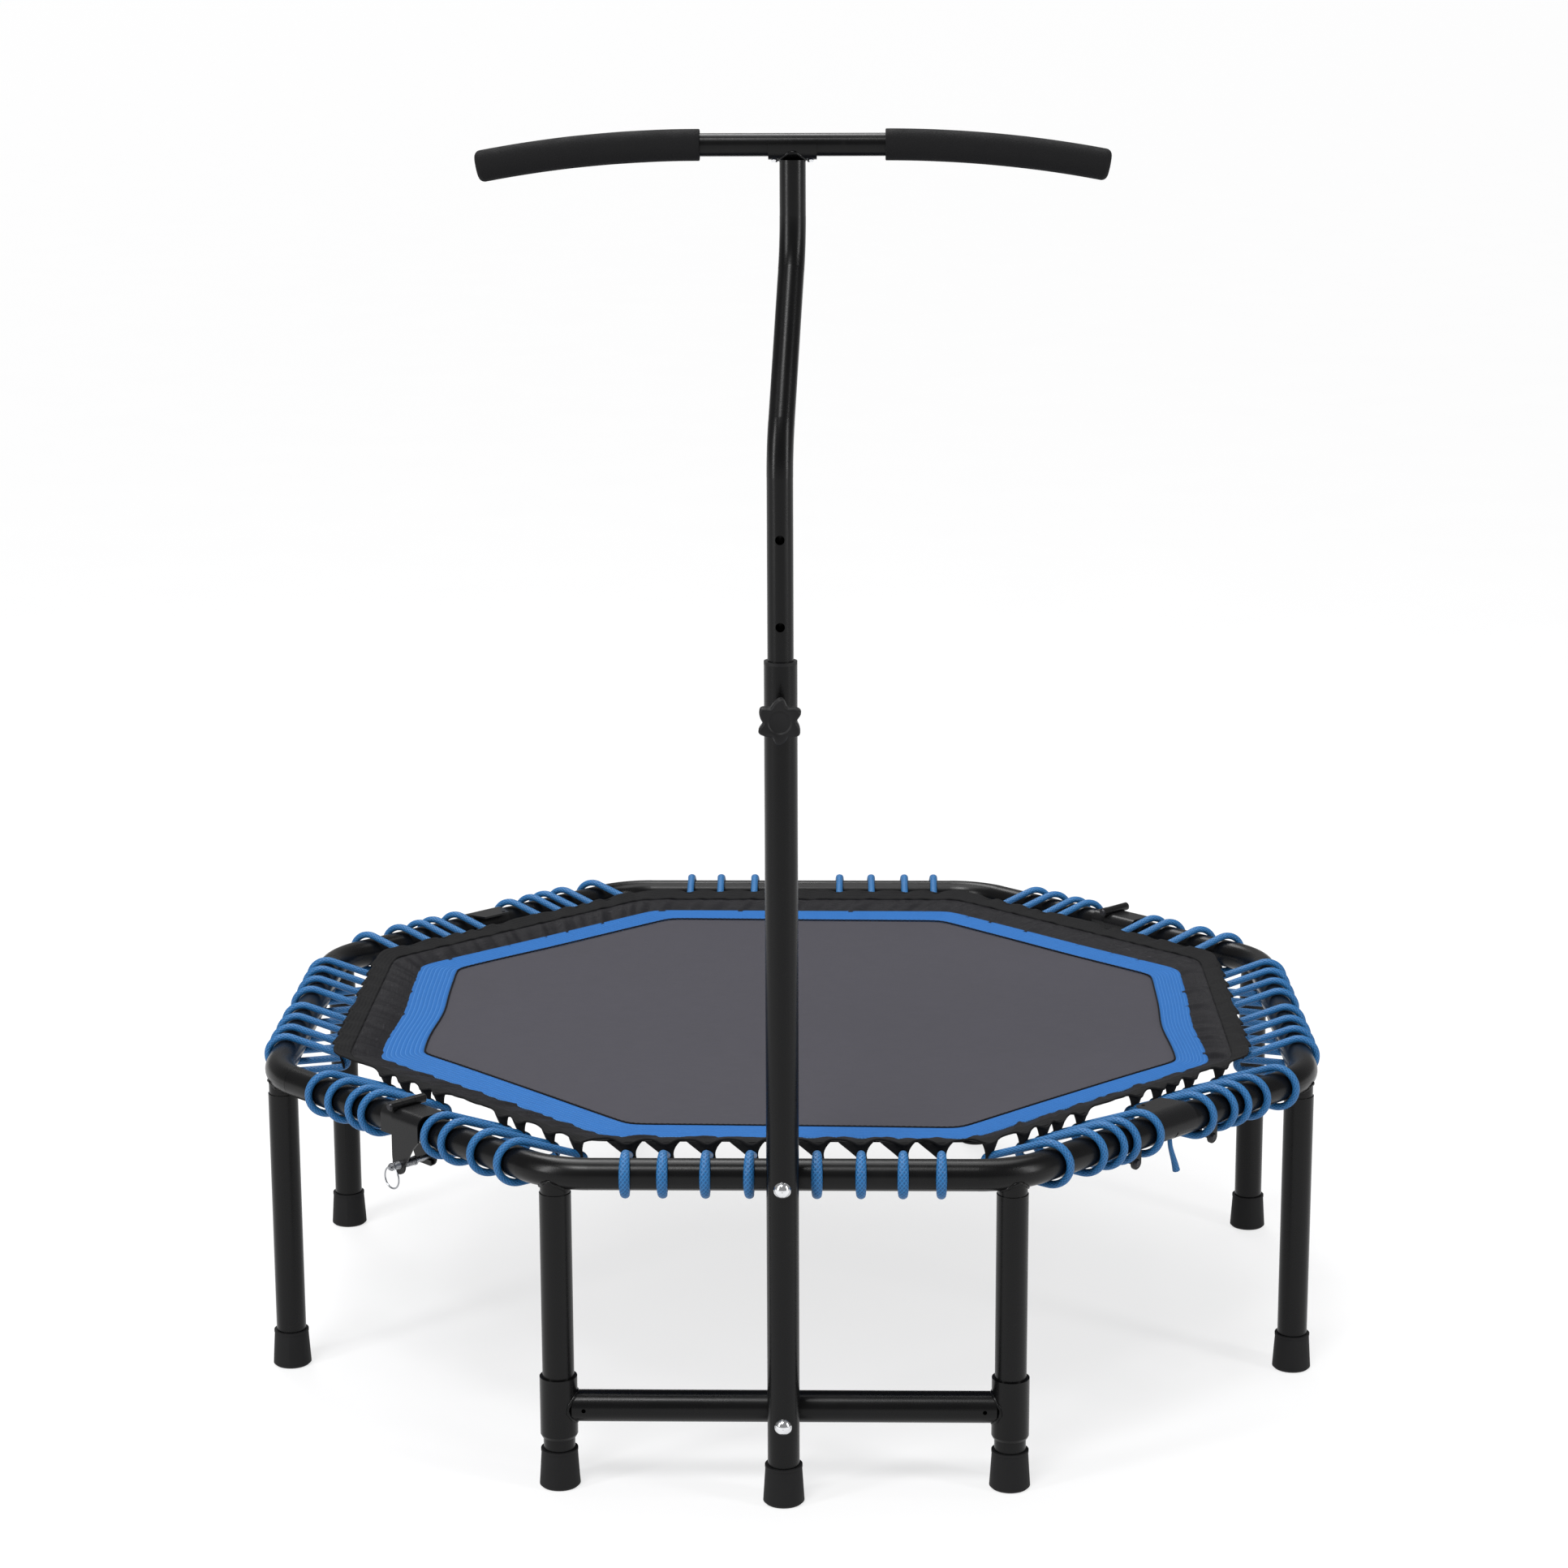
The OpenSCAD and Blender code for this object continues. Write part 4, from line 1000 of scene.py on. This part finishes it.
def make_spring(name, node, joint):
    """A wound coil in place of the CAD's stack of rings."""
    low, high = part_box(node)
    middle = (low + high) / 2
    pull = [known for known in frame["joints"] if known["name"] == joint][0]
    axis = Vector(pull["axis"]).normalized()
    wire_r, turns, steps = 0.6 * MM, 8, 20
    spread = high - low
    length = (spread.x + spread.y) / math.sqrt(2) - spread.z
    across = axis.cross(Vector((0, 0, 1)))
    coil_r = spread.z / 2 - wire_r
    shape, line = Shape(), []
    for i in range(turns * steps + 1):
        turn = 2 * math.pi * i / steps
        place = middle + axis * (length - 2 * wire_r) * (i / (turns * steps) - 0.5)
        line.append(place + coil_r * (math.cos(turn) * across + math.sin(turn) * Vector((0, 0, 1))))
    shape.tube(line, wire_r, 8)
    piece = finish_piece(shape.piece(name), zinc_finish)
    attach(piece, "fixed_half")
    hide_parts(node)
    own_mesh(piece)


# ---------- stage ----------


def make_stage():
    """A pale floor that runs to the horizon, and a white sky."""
    half = 450
    corners = ((-half, -half), (half, -half), (half, half), (-half, half))
    points = [Vector((x, y, -0.3 * MM)) for x, y in corners]
    floor = new_piece("floor", points, [(0, 1, 2, 3)], smooth=False)
    floor.data.materials.append(pale_floor())
    world = bpy.data.worlds.new("studio")
    bpy.context.scene.world = world
    world.use_nodes = True
    tree = world.node_tree
    seen, sky = tree.nodes.new("ShaderNodeBackground"), tree.nodes["Background"]
    kind, choose = tree.nodes.new("ShaderNodeLightPath"), tree.nodes.new("ShaderNodeMixShader")
    sky.inputs["Color"].default_value = seen.inputs["Color"].default_value = (1, 1, 1, 1)
    sky.inputs["Strength"].default_value = 0.3
    seen.inputs["Strength"].default_value = 1.0
    tree.links.new(kind.outputs["Is Camera Ray"], choose.inputs[0])
    tree.links.new(sky.outputs[0], choose.inputs[1])
    tree.links.new(seen.outputs[0], choose.inputs[2])
    tree.links.new(choose.outputs[0], tree.nodes["World Output"].inputs["Surface"])


def sun(name, energy, width, pitch, turn):
    """A far light. The width, pitch and turn are in degrees."""
    data = bpy.data.lights.new(name, "SUN")
    data.energy = energy
    data.angle = math.radians(width)
    light = bpy.data.objects.new(name, data)
    light.rotation_euler = (math.radians(pitch), 0, math.radians(turn))
    bpy.context.scene.collection.objects.link(light)


def softbox(name, place, target, size, energy):
    """A rectangular lamp aimed at a point."""
    data = bpy.data.lights.new(name, "AREA")
    data.shape = "RECTANGLE"
    data.size, data.size_y = size
    data.energy = energy
    light = bpy.data.objects.new(name, data)
    light.location = place
    aim = (Vector(target) - Vector(place)).to_track_quat("-Z", "Y")
    light.rotation_mode = "QUATERNION"
    light.rotation_quaternion = aim
    bpy.context.scene.collection.objects.link(light)


def make_lights():
    """Two suns for the form, and softboxes for the long highlights on the tubes."""
    sun("key_sun", 1.7, 16, 28, -24)
    sun("back_sun", 0.9, 24, -38, 16)
    softbox("left_strip", (-2.6, -2.2, 1.9), (0, 0, 0.7), (0.5, 2.4), 60)
    softbox("right_strip", (2.8, -1.8, 1.7), (0, 0, 0.6), (0.5, 2.2), 45)
    softbox("top_box", (0, 0.6, 3.2), (0, 0, 0.3), (2.6, 1.6), 50)


# ---------- building ----------

make_camera()
coat_finish = powder_coat("powder_coat", (0.0012, 0.0012, 0.0014), (0.003, 0.003, 0.0032))
bracket_finish = powder_coat("bracket_coat", (0.004, 0.004, 0.0044), (0.009, 0.009, 0.0096))
rubber_finish = moulded_rubber()
nylon_finish = moulded_nylon()
foam_finish = foam()
chrome_finish = bright_metal("chrome_bolt", (0.85, 0.86, 0.88), 0.08, 0.2)
zinc_finish = bright_metal("zinc_hardware", (0.4, 0.41, 0.43), 0.22, 0.38)
rivet_finish = bright_metal("black_rivet", (0.05, 0.05, 0.055), 0.3, 0.5)
tape_finish = black_tape()
cord_finish = braided_cord()

make_cord_tail()

SLOT_FINISHES = {
    "powder_coat": coat_finish,
    "foot_rubber": rubber_finish,
    "black_nylon": nylon_finish,
    "grip_foam": foam_finish,
    "chrome_bolt": chrome_finish,
    "zinc_hardware": zinc_finish,
    "black_rivet": rivet_finish,
    "mat_weave": tape_finish,
    "blue_webbing": tape_finish,
    "skirt_fabric": tape_finish,
    "elastic_cord": cord_finish,
}
OWN_FINISHES = {
    "front_hinge_cover": bracket_finish,
    "front_hinge_collar": bracket_finish,
    "back_hinge_cover": bracket_finish,
    "back_hinge_collar": bracket_finish,
    "right_bracket": bracket_finish,
    "left_bracket": bracket_finish,
    "front_hinge_pin": rivet_finish,
    "back_hinge_pin": rivet_finish,
}
for part in record["subparts"]:
    shown = frame["nodes"][part["node"]]
    shown.data.materials.clear()
    shown.data.materials.append(OWN_FINISHES.get(part["node"], SLOT_FINISHES[part["material_slot"]]))

cord_random = random.Random(3)
make_cords("cord_loops_fixed", fixed_loops(), "fixed_half", "cords_fixed", cord_random)
make_cords("cord_loops_folding", folding_loops(), "folding_half", "cords_folding", cord_random)
make_cord_fins("cord_fins_fixed", fixed_loops(), "fixed_half")
make_cord_fins("cord_fins_folding", folding_loops(), "folding_half")
make_soft_ring()
make_grip("left_foam_grip", -1, "left_grip")
make_grip("right_foam_grip", 1, "right_grip")
make_star_knob()
make_welds()
make_spring("front_spring_coil", "front_lock_spring", "front_lock_pull")
make_spring("back_spring_coil", "back_lock_spring", "back_lock_pull")
make_stage()
make_lights()
bpy.context.scene.view_settings.view_transform = "Standard"
